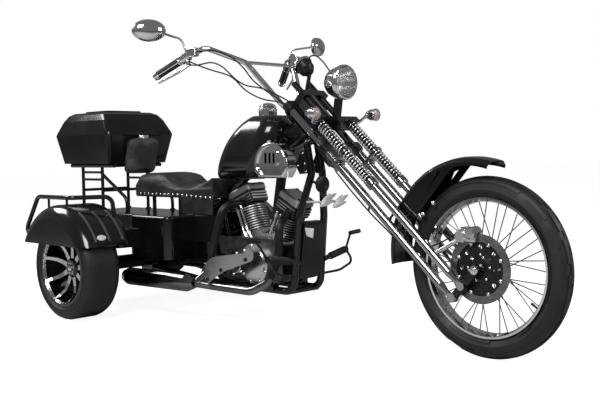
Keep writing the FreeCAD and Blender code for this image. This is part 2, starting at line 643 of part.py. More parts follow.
def peg_line(side):
    root = V(along(PEG_IN.x), side * PEG_IN.y, PEG_IN.z)
    end = V(along(PEG_OUT.x), side * PEG_OUT.y, PEG_OUT.z)
    return root, (end - root).normalize(), (end - root).Length


def spine_z(ahead):
    """Height of the backbone's axis over its first straight run."""
    (x1, z1), (x0, z0) = SPINE[0], SPINE[1]
    return z0 + (ahead - x0) * (z1 - z0) / (x1 - x0)


def frame(extra=0.0):
    """Welded tube frame; extra widens every tube, to cut a clearance round it."""
    head, bore = head_shell()
    neck = fork_point(0, 0, CLAMP_SPAN * 0.62)
    foot = fork_point(0, 0, CLAMP_SPAN * 0.45)
    e = extra
    low = REAR_TYRE_R - AXLE_TUBE_D / 2 - 12
    tubes = [head, tube([neck] + [at(x, 0, z) for x, z in SPINE], BACKBONE_D + e, 110)]
    for s in (-1, 1):
        y = s * RAIL_Y
        tubes.append(tube([foot, at(1082, s * NECK_Y, 842), at(1112, s * NECK_Y, 700), at(1074, s * DOWN_Y, 506),
                           at(1038, s * 86, RAIL_Z), at(420, y, RAIL_Z), at(90, s * AXLE_RAIL_Y, low),
                           at(-60, s * AXLE_RAIL_Y, low)], DOWN_D + e, 60))
        tubes.append(tube([at(330, s * 20, SUB_Z + 40), at(240, y, SUB_Z), at(-560, y, SUB_Z)], 28 + e, 60))
        tubes.append(rod(at(452, s * 10, 524), at(452, y, RAIL_Z), 26 + e))
        tubes.append(rod(at(-50, y, SUB_Z), at(-50, s * AXLE_RAIL_Y, low), 28 + e))
        tubes.append(block(AXLE_X - 40, AXLE_X + 40, s * AXLE_RAIL_Y - 20, s * AXLE_RAIL_Y + 20, low - 10,
                           low + 30))
        for ahead in (ENGINE_AHEAD - 110, ENGINE_AHEAD + 110):
            tubes.append(block(along(ahead) - 22, along(ahead) + 22, y - 18, y + 18, RAIL_Z,
                               CASE_Z0 - FIT))
        root, out, _ = peg_line(s)
        tubes.append(rod(root - out * 52, root, 24 + e))
        for ahead in SADDLE_POSTS:
            tubes.append(rod(at(ahead, y, SUB_Z), at(ahead, y, SADDLE_LOW - FIT), 20 + e))
    for ahead in TANK_BUSHINGS:
        half = TUNNEL_HALF - FIT
        tubes.append(rod(at(ahead, -half, spine_z(ahead)), at(ahead, half, spine_z(ahead)), 24))
    tubes.append(rod(at(330, -30, SUB_Z + 40), at(330, 30, SUB_Z + 40), 28 + e))
    for ahead, z in ((-540, SUB_Z), (560, RAIL_Z), (1010, RAIL_Z)):
        tubes.append(rod(at(ahead, -RAIL_Y, z), at(ahead, RAIL_Y, z), 26 + e))
    return fuse(tubes).cut(bore).cut(axle_tube(FIT - e / 2))


def axle_tube(extra=0.0):
    """The straight tube of the rear axle."""
    half = REAR_TRACK / 2 - REAR_TYRE_W / 2 + 20 - HUB_GAP
    return Part.makeCylinder(AXLE_TUBE_D / 2 + extra, 2 * half, V(AXLE_X, -half, REAR_TYRE_R), V(0, 1, 0))


def rear_axle():
    """Axle housing with a round final drive, bored for the wheels' stub shafts."""
    tube_part = axle_tube()
    c = V(AXLE_X, 0, REAR_TYRE_R)
    bulb = revolve([(-80, 0), (-80, 45), (-55, 82), (55, 82), (80, 45), (80, 0)], c, V(0, 1, 0))
    nose = Part.makeCone(60, 38, 60, c + V(60, 0, 0), V(1, 0, 0))
    housing = fuse([tube_part, bulb, nose])
    half = REAR_TRACK / 2 - REAR_TYRE_W / 2 + 20
    for s in (-1, 1):
        start = V(AXLE_X, s * (half + 1), REAR_TYRE_R)
        housing = housing.cut(Part.makeCylinder(STUB_R + FIT, STUB_L + 3, start, V(0, -s, 0)))
    return housing


def drive_shaft():
    p, q = V(AXLE_X + 120 + FIT, 0, REAR_TYRE_R), at(ENGINE_AHEAD - CASE_BACK - FIT, 0, 270)
    shaft = rod(p, q, 44)
    shaft = shaft.fuse(Part.makeCylinder(34, 22, p, V(1, 0, 0))).fuse(Part.makeCylinder(34, 22, q - V(22, 0, 0), V(1, 0, 0)))
    cut_low = block(p.x - 60, p.x, -80, 80, 100, 400).fuse(block(q.x, q.x + 60, -80, 80, 100, 400))
    return shaft.cut(cut_low).removeSplitter()


def cylinder(root_ahead, root_z, lean, half_x):
    """One finned barrel with its head, and the cover on the head."""
    root = at(root_ahead, 0, root_z)
    place = FreeCAD.Placement(root, FreeCAD.Rotation(V(0, 1, 0), lean))
    profile = [(FIN_LOW - 30, 0), (FIN_LOW - 30, BARREL_R)]
    z = FIN_LOW
    while z < HEAD_LOW - 8:
        profile += [(z, BARREL_R - 8), (z, FIN_R), (z + 4.5, FIN_R), (z + 4.5, BARREL_R - 8)]
        z += 12.0
    profile += [(HEAD_LOW + 4, BARREL_R - 8), (HEAD_LOW + 4, 0)]
    barrel = revolve(profile, V(0, 0, 0), V(0, 0, 1), V(1, 0, 0))
    head = Part.makeBox(2 * half_x - 8, 2 * HEAD_HALF_Y - 4, COVER_LOW - FIT - HEAD_LOW,
                        V(4 - half_x, 2 - HEAD_HALF_Y, HEAD_LOW))
    head = head.makeFillet(12, [e for e in head.Edges if e.BoundBox.ZLength > 20])
    for i in range(3):
        z = HEAD_LOW + 12 + i * 14
        ring = Part.makeBox(2 * half_x, 2 * HEAD_HALF_Y, 6, V(-half_x, -HEAD_HALF_Y, z))
        head = head.fuse(ring.makeFillet(12, [e for e in ring.Edges if e.BoundBox.ZLength > 5]))
    barrel = fuse([barrel, head])
    cover = Part.makeBox(2 * half_x, 2 * HEAD_HALF_Y, COVER_TOP - COVER_LOW,
                         V(-half_x, -HEAD_HALF_Y, COVER_LOW))
    cover = cover.makeFillet(12, [e for e in cover.Edges if e.BoundBox.ZMax > COVER_TOP - 1
                                  or e.BoundBox.ZLength > 20])
    for shape in (barrel, cover):
        shape.Placement = place.multiply(shape.Placement)
    return barrel, cover


def engine():
    x = along(ENGINE_AHEAD)
    case = block(x - CASE_BACK, x + CASE_FRONT, -CASE_Y, CASE_Y, CASE_Z0, CASE_Z1)
    case = case.makeFillet(42, [e for e in case.Edges if abs(e.BoundBox.YLength) > 200])
    wedge = plate([(x - 120, CASE_Z1 - 30), (x + 130, CASE_Z1 - 30), (x + 120, CASE_Z1 + 30), (x + 30, CASE_Z1 + 20),
                   (x, CASE_Z1 + 45), (x - 30, CASE_Z1 + 30), (x - 110, CASE_Z1 + 20)], -76, 76)
    pieces = [case, wedge]
    for side in (-1, 1):
        for ahead, z, radius, step in ((30, 285, 92, 20), (-100, 275, 58, 18)):
            low = V(x + ahead, side * (CASE_Y - 2), z)
            pieces.append(Part.makeCylinder(radius, step + 2, low, V(0, side, 0)))
            pieces.append(Part.makeCone(radius - 14, radius - 20, 7, low + V(0, side * (step + 1), 0), V(0, side, 0)))
    case = fuse(pieces)
    barrels, covers = zip(*[cylinder(*row) for row in CYLINDERS])
    for barrel in barrels:
        case = case.cut(barrel)
    return max(case.Solids, key=lambda p: p.Volume), Part.makeCompound(barrels), Part.makeCompound(covers)


AIR_AT = V(1020, -205, 762)    # ahead, outer face, middle height
AIR_HALF = 101.0
AIR_LOW = 77.0
AIR_HIGH = 78.0
AIR_DEEP = 65.0


def d_face(inset, y):
    """The air cleaner's outline, drawn in by inset: flat foot and arched top."""
    cx, cz = along(AIR_AT.x), AIR_AT.z
    half, low, high = AIR_HALF - inset, AIR_LOW - inset, AIR_HIGH - inset
    foot = half - 24
    left, right = V(cx - half, y, cz - low + 28), V(cx + half, y, cz - low + 28)
    edges = [Part.LineSegment(V(cx - foot, y, cz - low), V(cx + foot, y, cz - low)).toShape(),
             Part.LineSegment(V(cx + foot, y, cz - low), right).toShape(),
             Part.Arc(right, V(cx, y, cz + high), left).toShape(),
             Part.LineSegment(left, V(cx - foot, y, cz - low)).toShape()]
    return Part.Face(Part.Wire(edges))


def air_cleaner():
    """D-shaped cover with a raised rim, a bar across its face and upright slots."""
    y0 = AIR_AT.y
    cover = d_face(0, y0).extrude(V(0, AIR_DEEP, 0))
    outer = [e for e in cover.Edges if abs(e.BoundBox.YMin - y0) < 0.1 and e.BoundBox.YLength < 0.1]
    cover = cover.makeFillet(10, outer)
    cover = cover.cut(d_face(15, y0 - 1).extrude(V(0, 10, 0)))
    cx = along(AIR_AT.x)
    bar = block(cx - AIR_HALF + 12, cx + AIR_HALF - 12, y0 + 1, y0 + 12, AIR_AT.z - 46, AIR_AT.z - 36)
    plinth = block(cx - 46, cx + 46, y0 + 2, y0 + 12, AIR_AT.z - 24, AIR_AT.z + 42)
    plinth = plinth.makeFillet(14, [e for e in plinth.Edges if e.BoundBox.YLength > 5])
    cover = cover.fuse([bar, plinth])
    for i in (-1, 0, 1):
        cover = cover.cut(block(cx + i * 26 - 7, cx + i * 26 + 7, y0 - 1, y0 + 22, AIR_AT.z - 14, AIR_AT.z + 32))
    return cover.removeSplitter(), y0 + AIR_DEEP


def intake(y1):
    """Carburettor throat from the air cleaner's back to between the cylinders."""
    return tube([at(1005, y1 - 1, 740), at(990, y1 + 46, 730), at(900, -24, 640), at(835, 0, 440)], 46, 40)


TANK_ROWS = (  # height, back, front, half width, corner radius
    (672, 530, 800, 95, 50),
    (700, 536, 860, 135, 80),
    (763, 562, 915, 150, 95),
    (857, 622, 955, 145, 95),
    (927, 688, 950, 118, 85),
    (965, 738, 915, 74, 62),
)


def fuel_tank():
    """Tall humped tank: lofted level sections, narrower towards the top."""
    wires = [rounded(along(b), along(f), -w, w, z, r) for z, b, f, w, r in TANK_ROWS]
    tank = Part.makeLoft(wires, True, False)
    top = along(SPINE[0][0])
    end = V(top, 0, SPINE[0][1])
    tunnel = rod(fork_point(0, 0, CLAMP_SPAN * 0.62), end, BACKBONE_D + 24)
    tunnel = tunnel.fuse([ball(end, BACKBONE_D + 24), rod(end, at(SPINE[1][0], 0, SPINE[1][1]), BACKBONE_D + 24)])
    high = SPINE[0][1] + 26
    low = [(400, 500), (1100, 500), (1100, high), (880, high), (400, 585)]
    tunnel = tunnel.fuse(plate([(along(x), z) for x, z in low], -TUNNEL_HALF, TUNNEL_HALF))
    swing = in_fork(Part.makeCylinder(60, 900, V(0, 0, -200)))
    return max(tank.cut(tunnel).cut(swing).Solids, key=lambda s: s.Volume)


PIPE_Y = -235.0
PIPE_Z = 178.0
PIPE_D = 38.0
CAN_D = 86.0
CAN_FRONT = V(560, -285, 190)  # ahead, across, height
CAN_BACK = V(80, -330, 190)


def exhaust():
    """Header pipes from both heads, and one long silencer low on the right."""
    joint = at(CAN_FRONT.x + 20, CAN_FRONT.y + 8, CAN_FRONT.z)
    front = tube([at(972, -40, 530), at(1004, -138, 472), at(1008, -146, 330), at(978, -190, 215),
                  at(920, PIPE_Y, PIPE_Z), at(650, PIPE_Y, PIPE_Z), joint], PIPE_D, 60)
    rear = tube([at(675, -40, 560), at(655, -165, 545), at(618, -195, 370), at(620, -225, 250), joint],
                PIPE_D, 60)
    start = at(CAN_FRONT.x, CAN_FRONT.y, CAN_FRONT.z)
    along = at(CAN_BACK.x, CAN_BACK.y, CAN_BACK.z) - start
    length, r = along.Length, CAN_D / 2
    can = revolve([(-20, 0), (-20, 24), (30, r), (length - 40, r), (length - 8, r - 12), (length - 8, r - 20),
                   (length, r - 20), (length, 0)], start, along)
    outlet = rod(start + along * 0.9, start + along.normalize() * (length + 1), 2 * r - 56)
    return fuse([front, rear, can.cut(outlet)]), along


def heat_shield():
    """Bright leaf-shaped plate that hugs the outside of the front pipe."""
    y = PIPE_Y - 15.4 - FIT
    edge = [at(574, y, 196), at(606, y, 262), at(700, y, 322)]
    tip = [at(900, y, 350), at(958, y, 342), at(940, y, 316)]
    foot = [at(770, y, 262), at(690, y, 222), at(632, y, 184)]
    edges = [Part.Arc(p, m, q).toShape() for p, m, q in (edge, tip, foot)]
    for p, q in ((edge[2], tip[0]), (tip[2], foot[0]), (foot[2], edge[0])):
        edges.append(Part.LineSegment(p, q).toShape())
    wire = Part.Wire(Part.__sortEdges__(edges))
    leaf = Part.Face(wire).extrude(V(0, -4, 0))
    stay = rod(at(600, y - 1, 232), at(600, PIPE_Y + 30, 232), 12)
    return leaf.fuse(stay).removeSplitter()


# ---------------------------------------------------------------- rear body, seat and box
def tub(x0, x1, half, z0, z1, corner, inset):
    """A box with round upright corners and a rounded top edge, drawn in by inset."""
    i = inset
    base = Part.Face(rounded(x0 + i, x1 - i, -half + i, half - i, z0 - (1 if i else 0), corner - i))
    solid = base.extrude(V(0, 0, z1 - i - z0 + (1 if i else 0)))
    return solid.makeFillet(14 - i, [e for e in solid.Edges if e.BoundBox.ZMin > z1 - i - 1])


def rear_body():
    """Moulded tub between the wheels, open below: decks, raised centre and front box."""
    back, mid, nose = AXLE_X - BODY_REAR, along(BODY_FRONT), along(NOSE_FRONT)
    rows = (
        (back, mid, BODY_W / 2, BODY_LOW_Z, DECK_Z, 40),
        (back + 20, nose - 60, CENTRE_W / 2, BODY_LOW_Z, CENTRE_Z, 40),
        (mid - 30, nose, NOSE_W / 2, NOSE_LOW, NOSE_TOP, 40),
    )
    outer = [tub(*row, 0) for row in rows]
    inner = [tub(*row, BODY_SKIN) for row in rows]
    shell = fuse(outer).cut(fuse(inner))
    return shell.cut(block(mid - 40, mid, -75, 75, NOSE_LOW - 1, BODY_LOW_Z - 10)).removeSplitter()


def arch_section(inset):
    """Section of a rear fender for the left side: skirt, round shoulder, crown, inner wall."""
    y_in, y_out, top = BODY_W / 2 + FIT + inset, ARCH_OUT_Y - inset, ARCH_R - inset
    r_in, r_out = ARCH_INNER_ROUND - inset, ARCH_OUTER_ROUND - inset
    k = math.sqrt(0.5)
    c = V(AXLE_X + ARCH_AHEAD, 0, ARCH_Z)
    def p(y, r):
        return c + V(0, y, r)
    low = ARCH_LOW - ARCH_Z - 40 - (2 if inset else 0)
    edges = [
        Part.LineSegment(p(y_in, low), p(y_in, top - r_in)).toShape(),
        Part.Arc(p(y_in, top - r_in), p(y_in + r_in - r_in * k, top - r_in + r_in * k),
                 p(y_in + r_in, top)).toShape(),
        Part.LineSegment(p(y_in + r_in, top), p(y_out - r_out, top)).toShape(),
        Part.Arc(p(y_out - r_out, top), p(y_out - r_out + r_out * k, top - r_out + r_out * k),
                 p(y_out, top - r_out)).toShape(),
        Part.LineSegment(p(y_out, top - r_out), p(y_out, low)).toShape(),
        Part.LineSegment(p(y_out, low), p(y_in, low)).toShape(),
    ]
    return Part.Face(Part.Wire(edges)), c


def arch_solid(inset):
    face, c = arch_section(inset)
    ring = face.revolve(c, V(0, 1, 0), 360)
    x = AXLE_X + ARCH_AHEAD
    return ring.common(block(x - ARCH_R - 5, x + ARCH_R + 5, 0, ARCH_OUT_Y + 50, ARCH_LOW - (1 if inset else 0), 700))


def rear_fender():
    """Close arch over the left wheel with both side walls and three raised ribs."""
    fender = arch_solid(0).cut(arch_solid(FENDER_SKIN))
    c = V(AXLE_X + ARCH_AHEAD, 0, ARCH_Z)
    R = ARCH_R
    for share in (0.21, 0.475, 0.745):
        y = BODY_W / 2 + (ARCH_OUT_Y - BODY_W / 2) * share
        corners = [c + V(0, y - 8, R - 2), c + V(0, y - 4, R + 5), c + V(0, y + 4, R + 5), c + V(0, y + 8, R - 2)]
        rib = Part.Face(Part.makePolygon(corners + corners[:1]))
        rib.rotate(c, V(0, 1, 0), 26)
        fender = fender.fuse(rib.revolve(c, V(0, 1, 0), 34))
    return fender.removeSplitter()


GUARD_Y = ARCH_OUT_Y - 69.0
GUARD_TOP = 592.0


def fender_guard():
    """Tubular hand rail over the left rear fender."""
    inner = GUARD_Y - 178
    rail = tube([at(-318, GUARD_Y + 18, 380), at(-364, GUARD_Y + 20, 424), at(-275, GUARD_Y, GUARD_TOP),
                 at(22, GUARD_Y, GUARD_TOP), at(118, inner, GUARD_TOP), at(140, inner, 470)], GUARD_D, 40)
    posts = [rod(at(x, GUARD_Y, GUARD_TOP), at(x, GUARD_Y, 500), 12) for x in (-170, 0)]
    rail = fuse([rail] + posts).cut(arch_solid(0)).cut(rear_fender())
    return max(rail.Solids, key=lambda s: s.Volume)


BOX_X0 = AXLE_X - BOX_REAR
BOX_X1 = BOX_X0 + BOX_L
HINGE_D = 14.0
HINGE_PIN_D = 6.0
HINGE_AT = V(BOX_X1 + HINGE_D / 2 + 2, 0, BOX_BELT_Z)


def box_loft(low, high, inset):
    """Box shell between base and belt, drawn in by a wall."""
    (rear, front, side), half, i = BOX_TAPER, BOX_W / 2, inset
    base = rounded(BOX_X0 + rear + i, BOX_X1 - front - i, -half + side + i, half - side - i, low, 22 - i)
    belt = rounded(BOX_X0 + i, BOX_X1 - i, -half + i, half - i, high, BOX_CORNER - i)
    return Part.makeLoft([base, belt], True, True)


def tail_box():
    wall = BOX_WALL
    box = box_loft(BOX_BASE_Z, BOX_BELT_Z, 0).cut(box_loft(BOX_BASE_Z + wall, BOX_BELT_Z + 0.01, wall))
    knuckles = []
    for s in (-1, 1):
        y0 = s * 95 - 20
        knuckles.append(Part.makeCylinder(HINGE_D / 2, 40, HINGE_AT + V(0, y0, 0), V(0, 1, 0)))
        knuckles.append(block(BOX_X1 - 3, HINGE_AT.x, y0, y0 + 40, BOX_BELT_Z - 10, BOX_BELT_Z - 4))
    pin = Part.makeCylinder(HINGE_PIN_D / 2, 230, HINGE_AT + V(0, -115, 0), V(0, 1, 0))
    return fuse([box] + knuckles + [pin])


LID_ROWS = (  # above the belt: height, then inside the belt: rear, front, each side, corner radius
    (0, 0, 0, 0, 28),
    (16, 5, 4, 4, 30),
    (80, 44, 44, 22, 36),
    (112, 70, 72, 38, 44),
    (125, 96, 104, 58, 50),
)


def lid_loft(inset):
    half, i = BOX_W / 2, inset
    wires = []
    for n, (rise, rear, front, side, radius) in enumerate(LID_ROWS):
        z = BOX_BELT_Z + FIT + rise * (BOX_TOP_Z - BOX_BELT_Z - i) / 125.0 - (1 if i and n == 0 else 0)
        wires.append(rounded(BOX_X0 + rear + i, BOX_X1 - front - i, -half + side + i, half - side - i, z,
                             radius - i))
    return Part.makeLoft(wires, True, True)


def box_lid():
    lid = lid_loft(0)
    pad = Part.Face(rounded(BOX_X0 + 150, BOX_X1 - 150, -120, 120, BOX_TOP_Z - 4, 40)).extrude(V(0, 0, 14))
    lid = fuse([lid, pad]).cut(lid_loft(BOX_WALL))
    knuckle = Part.makeCylinder(HINGE_D / 2, 148, HINGE_AT + V(0, -74, 0), V(0, 1, 0))
    leaf = block(BOX_X1 - 4, HINGE_AT.x, -74, 74, BOX_BELT_Z + FIT, BOX_BELT_Z + 6)
    lid = fuse([lid, knuckle, leaf])
    bore = Part.makeCylinder(HINGE_PIN_D / 2 + FIT, 240, HINGE_AT + V(0, -120, 0), V(0, 1, 0))
    return lid.cut(bore).removeSplitter()


RACK_Y = 150.0
RACK_D = 22.0
STRUTS = (-575.0, -380.0)      # ahead of the rear axle


def box_rack():
    """Tube rack that carries the box above the raised centre of the body."""
    z = BOX_BASE_Z - RACK_D / 2
    shapes = []
    for s in (-1, 1):
        y = s * RACK_Y
        shapes.append(rod(at(-690, y, z), at(-258, y, z), RACK_D))
        for x in STRUTS:
            shapes.append(rod(at(x, y, z), at(x, y, CENTRE_Z + FIT), 18))
            shapes.append(Part.makeCylinder(16, 6, at(x, y, CENTRE_Z + FIT)))
        for rung in (700, 660):
            shapes.append(rod(at(STRUTS[0], y, rung), at(STRUTS[1], y, rung), 14))
        shapes.append(tube([at(STRUTS[1], y, 690), at(-150, y, 560), at(-150, y, CENTRE_Z + FIT)], 18, 60))
        shapes.append(Part.makeCylinder(16, 6, at(-150, y, CENTRE_Z + FIT)))
    for x in (-660, STRUTS[0], STRUTS[1], -290):
        shapes.append(rod(at(x, -RACK_Y, z), at(x, RACK_Y, z), 18))
    for x in STRUTS:
        shapes.append(rod(at(x, -RACK_Y, 600), at(x, RACK_Y, 600), 16))
    return fuse(shapes)


REST_HALF = 95.0
REST_LOW = 694.0
REST_TOP = 886.0
REST_DEEP = 44.0


def backrest():
    """Padded rest that leans with the front wall of the box."""
    def wall(z):
        return BOX_X1 - BOX_TAPER[1] * (BOX_BELT_Z - z) / (BOX_BELT_Z - BOX_BASE_Z)
    low, high, deep = REST_LOW, REST_TOP, REST_DEEP
    pad = plate([(wall(low) + 0.5, low), (wall(low) + deep, low), (wall(high) + deep, high),
                 (wall(high) + 0.5, high)], -REST_HALF, REST_HALF)
    upright = [e for e in pad.Edges if e.BoundBox.XLength > 20 and e.BoundBox.YLength < 1 and e.BoundBox.ZLength < 1]
    pad = pad.makeFillet(36, upright)
    front = [e for e in pad.Edges if e.BoundBox.XMin > wall(low) + deep - 1 and
             e.CenterOfMass.x > wall(e.CenterOfMass.z) + deep - 2]
    return pad.makeFillet(10, front)


SEAT = (  # side view of the saddle: ahead of the rear axle, height
    (-84, SADDLE_LOW), (-92, 655), (-60, 690), (100, 693), (150, 683), (205, 650), (250, 634), (360, 634),
    (430, 646), (480, 660), (518, 676), (526, 662), (524, SADDLE_LOW))
SEAT_EDGE = 22.0               # chamfer along the top of each side
SEAT_HALF = 140.0              # at the rear
SEAT_NOSE = 118.0              # at the front
SEAT_SPLAY = 200.0             # it narrows ahead of this
SKIRT_LOW = 495.0


def seat_half(ahead):
    """Half width of the saddle, narrower towards the tank."""
    return SEAT_HALF - (SEAT_HALF - SEAT_NOSE) * max(0.0, ahead - SEAT_SPLAY) / (535.0 - SEAT_SPLAY)


def saddle():
    """Stepped saddle with a side skirt on each side of its nose."""
    body = plate([(along(x), z) for x, z in SEAT], -SEAT_HALF, SEAT_HALF)
    sides = [e for e in body.Edges if e.BoundBox.YLength < 0.1 and e.CenterOfMass.z > 630]
    tip = math.hypot(along(SEAT[-2][0]) - along(SEAT[-3][0]), SEAT[-2][1] - SEAT[-3][1])
    body = body.makeChamfer(min(SEAT_EDGE, tip * 1.37), sides)
    plan = [(-120, SEAT_HALF), (SEAT_SPLAY, SEAT_HALF), (560, seat_half(560))]
    corners = [at(x, y, 400) for x, y in plan] + [at(x, -y, 400) for x, y in reversed(plan)]
    body = body.common(Part.Face(Part.makePolygon(corners + corners[:1])).extrude(V(0, 0, 400)))
    skirts = []
    for s in (-1, 1):
        plan = [(290, 0), (523, 0), (523, -7), (290, -7)]
        corners = [at(x, s * (seat_half(x) + y), SKIRT_LOW) for x, y in plan]
        skirts.append(Part.Face(Part.makePolygon(corners + corners[:1])).extrude(V(0, 0, 110)))
    return fuse([body] + skirts)


def side_cover(side):
    """Panel below the saddle's skirt, between the front box and the engine."""
    y = side * 128
    outline = [(NOSE_FRONT + FIT, 360), (560, 372), (600, 470), (596, SKIRT_LOW - 1), (NOSE_FRONT + FIT, SKIRT_LOW - 1)]
    cover = plate([(along(x), z) for x, z in outline], min(y, y - side * 6), max(y, y - side * 6))
    stay = rod(at(452, y - side * 3, 400), at(452, side * 60, 400), 12)
    return cover.fuse(stay).removeSplitter()


def front_cover():
    """Small moulded box between the downtubes."""
    half = DOWN_Y - DOWN_D / 2 + 5
    outline = [(1012, 232), (1052, 226), (1080, 330), (1104, 470), (1098, 484), (1044, 484)]
    body = plate([(along(x), z) for x, z in outline], -half, half)
    front = [e for e in body.Edges if e.CenterOfMass.x > along(1050) and e.BoundBox.YLength < 1]
    return body.makeFillet(8, front)


def horn():
    c = at(1176, -34, 652)
    body = revolve([(-30, 0), (-30, 14), (-16, 20), (-10, 36), (8, 36), (10, 30), (4, 10), (4, 0)], c, V(1, 0, 0))
    stay = rod(c - V(28, 0, 0), at(1104, -NECK_Y - 6, 672), 12)
    return fuse([body, stay])


def wing_trim():
    """Two bright leaf shapes side by side below the horn."""
    x, z = 1204, 574
    leaves = []
    for s in (-1, 1):
        root, tip = at(x, s * 3, z - 12), at(x, s * 88, z + 12)
        over, under = at(x, s * 40, z + 32), at(x, s * 50, z - 28)
        edges = [Part.Arc(root, over, tip).toShape(), Part.Arc(tip, under, root).toShape()]
        leaves.append(Part.Face(Part.Wire(edges)).extrude(V(7, 0, 0)))
        leaves.append(rod(at(x + 3, s * 40, z), at(1086, s * 64, z), 10))
    leaves.append(block(along(x) - 5, along(x) + 2, -44, 44, z - 4, z + 4))
    return fuse(leaves)


def foot_peg(side):
    """Ribbed rubber foot peg on its stub."""
    root, out, length = peg_line(side)
    profile = [(FIT, 0), (FIT, 16)]
    ribs = 9
    pitch = (length - 16) / ribs
    for i in range(ribs):
        a = 4 + i * pitch
        profile += [(a, 17), (a + 1.5, 14), (a + pitch * 0.4, 14), (a + pitch * 0.4 + 1.5, 17)]
    profile += [(length - 10, 17), (length - 6, 17), (length, 12), (length, 0)]
    return revolve(profile, root, out)


def foot_levers():
    """Gear pedal on the left, brake pedal with its rod on the right, each on a curved arm."""
    pieces = []
    for s in (-1, 1):
        root, out, length = peg_line(s)
        end = root + out * (length + FIT)
        eye = Part.makeCylinder(14, 9, end, out)
        arm = tube([at(1050, s * (DOWN_Y + 18), 236), at(1088, s * 165, 246), at(1090, s * 257, 278),
                    end + out * 4.5], 12, 60)
        if s > 0:
            pedal = [end + out * 4.5, at(1075, 258, 408)]
            pad = rod(at(1078, 250, 410), at(1086, 312, 416), 20)
        else:
            pedal = [end + out * 4.5, at(1012, -290, 418)]
            pad = rod(at(1016, -268, 414), at(1008, -330, 420), 20)
        one = fuse([eye, arm, rod(pedal[0], pedal[1], 11), pad])
        pieces.append(one.cut(rod(root, end, 40)).cut(rod(at(1074, s * DOWN_Y, 506), at(1038, s * 86, RAIL_Z), 35)))
    return Part.makeCompound([max(p.Solids, key=lambda q: q.Volume) for p in pieces])


def rear_lamps():
    x = AXLE_X - BODY_REAR - FIT
    lamp = revolve([(0, 0), (0, 34), (14, 34), (26, 26), (30, 0)], V(x, 290, 381), V(-1, 0, 0))
    return pair(lamp)


def filler_cap():
    base = at(800, 0, TANK_ROWS[-1][0] + FIT)
    return revolve([(0, 0), (0, 42), (34, 42), (40, 38), (44, 40), (52, 34), (60, 18), (62, 0)], base,
                   V(0, 0, 1), V(1, 0, 0))


# ---------------------------------------------------------------- cables
CABLE_D = 6.5
# ahead of the rear axle, across, height; the last point is in the fork's own axes
CABLES = (
    (((636, -328, 1200), (700, -345, 1190), (773, -312, 1203), (818, -290, 1182), (875, -260, 1118),
      (907, -230, 1091), (968, -190, 1080), (1050, -130, 1029)), (70, -84, 282)),
    (((680, -322, 1256), (784, -300, 1255), (840, -250, 1222), (885, -220, 1172), (903, -190, 1119),
      (950, -150, 1069), (1000, -122, 1030)), (60, -116, 294)),
    (((626, -322, 1216), (740, -322, 1176), (861, -270, 1136), (900, -230, 1070), (955, -180, 1030),
      (1018, -135, 1018)), (74, -102, 272)),
)
GAUGE_CABLE = ((1076, -8, 1192), (1090, -10, 1222), (1125, -6, 1220), (1165, -2, 1188), (1204, 0, 1140))
# ahead of the steering axis, across, up from the lower clamp
BRAKE_LINE = ((32, -62, -14), (2, -63, -70), (2, -70, -211), (10, -80, -359), (26, -90, -461), (30, -90, -560),
              (75, -66, -625), (160, -64, -672), (264, -62, -706))
CLIPS = (-330, -520)           # up from the lower clamp


def cable(points):
    """A thin round line whose arcs are as large as its runs allow."""
    return tube(list(points), CABLE_D, 1000.0)


def control_cables(seats):
    """Three lines from the right-hand controls to the top clamp, and the gauge's lead."""
    lines = []
    for route, last in CABLES:
        lines.append(cable([at(*p) for p in route] + [fork_point(*last)]))
    lines.append(cable([at(*p) for p in GAUGE_CABLE]))
    ends = []
    for line in lines:
        for seat in seats:
            line = line.cut(seat)
        ends.append(max(line.Solids, key=lambda p: p.Volume))
    return Part.makeCompound(ends)


def brake_line(seats):
    """Hydraulic line down the right fork leg to the caliper, with two clips."""
    line = cable([fork_point(*p) for p in BRAKE_LINE])
    clips = []
    for s in CLIPS:
        y = -74 if s > -400 else -88
        clips.append(rod(fork_point(8 if s > -400 else 24, y, s), fork_point(LEG_LEAD - 4, -LEG_Y, s), 9))
    line = fuse([line] + clips)
    for seat in seats:
        line = line.cut(seat)
    return max(line.Solids, key=lambda p: p.Volume)


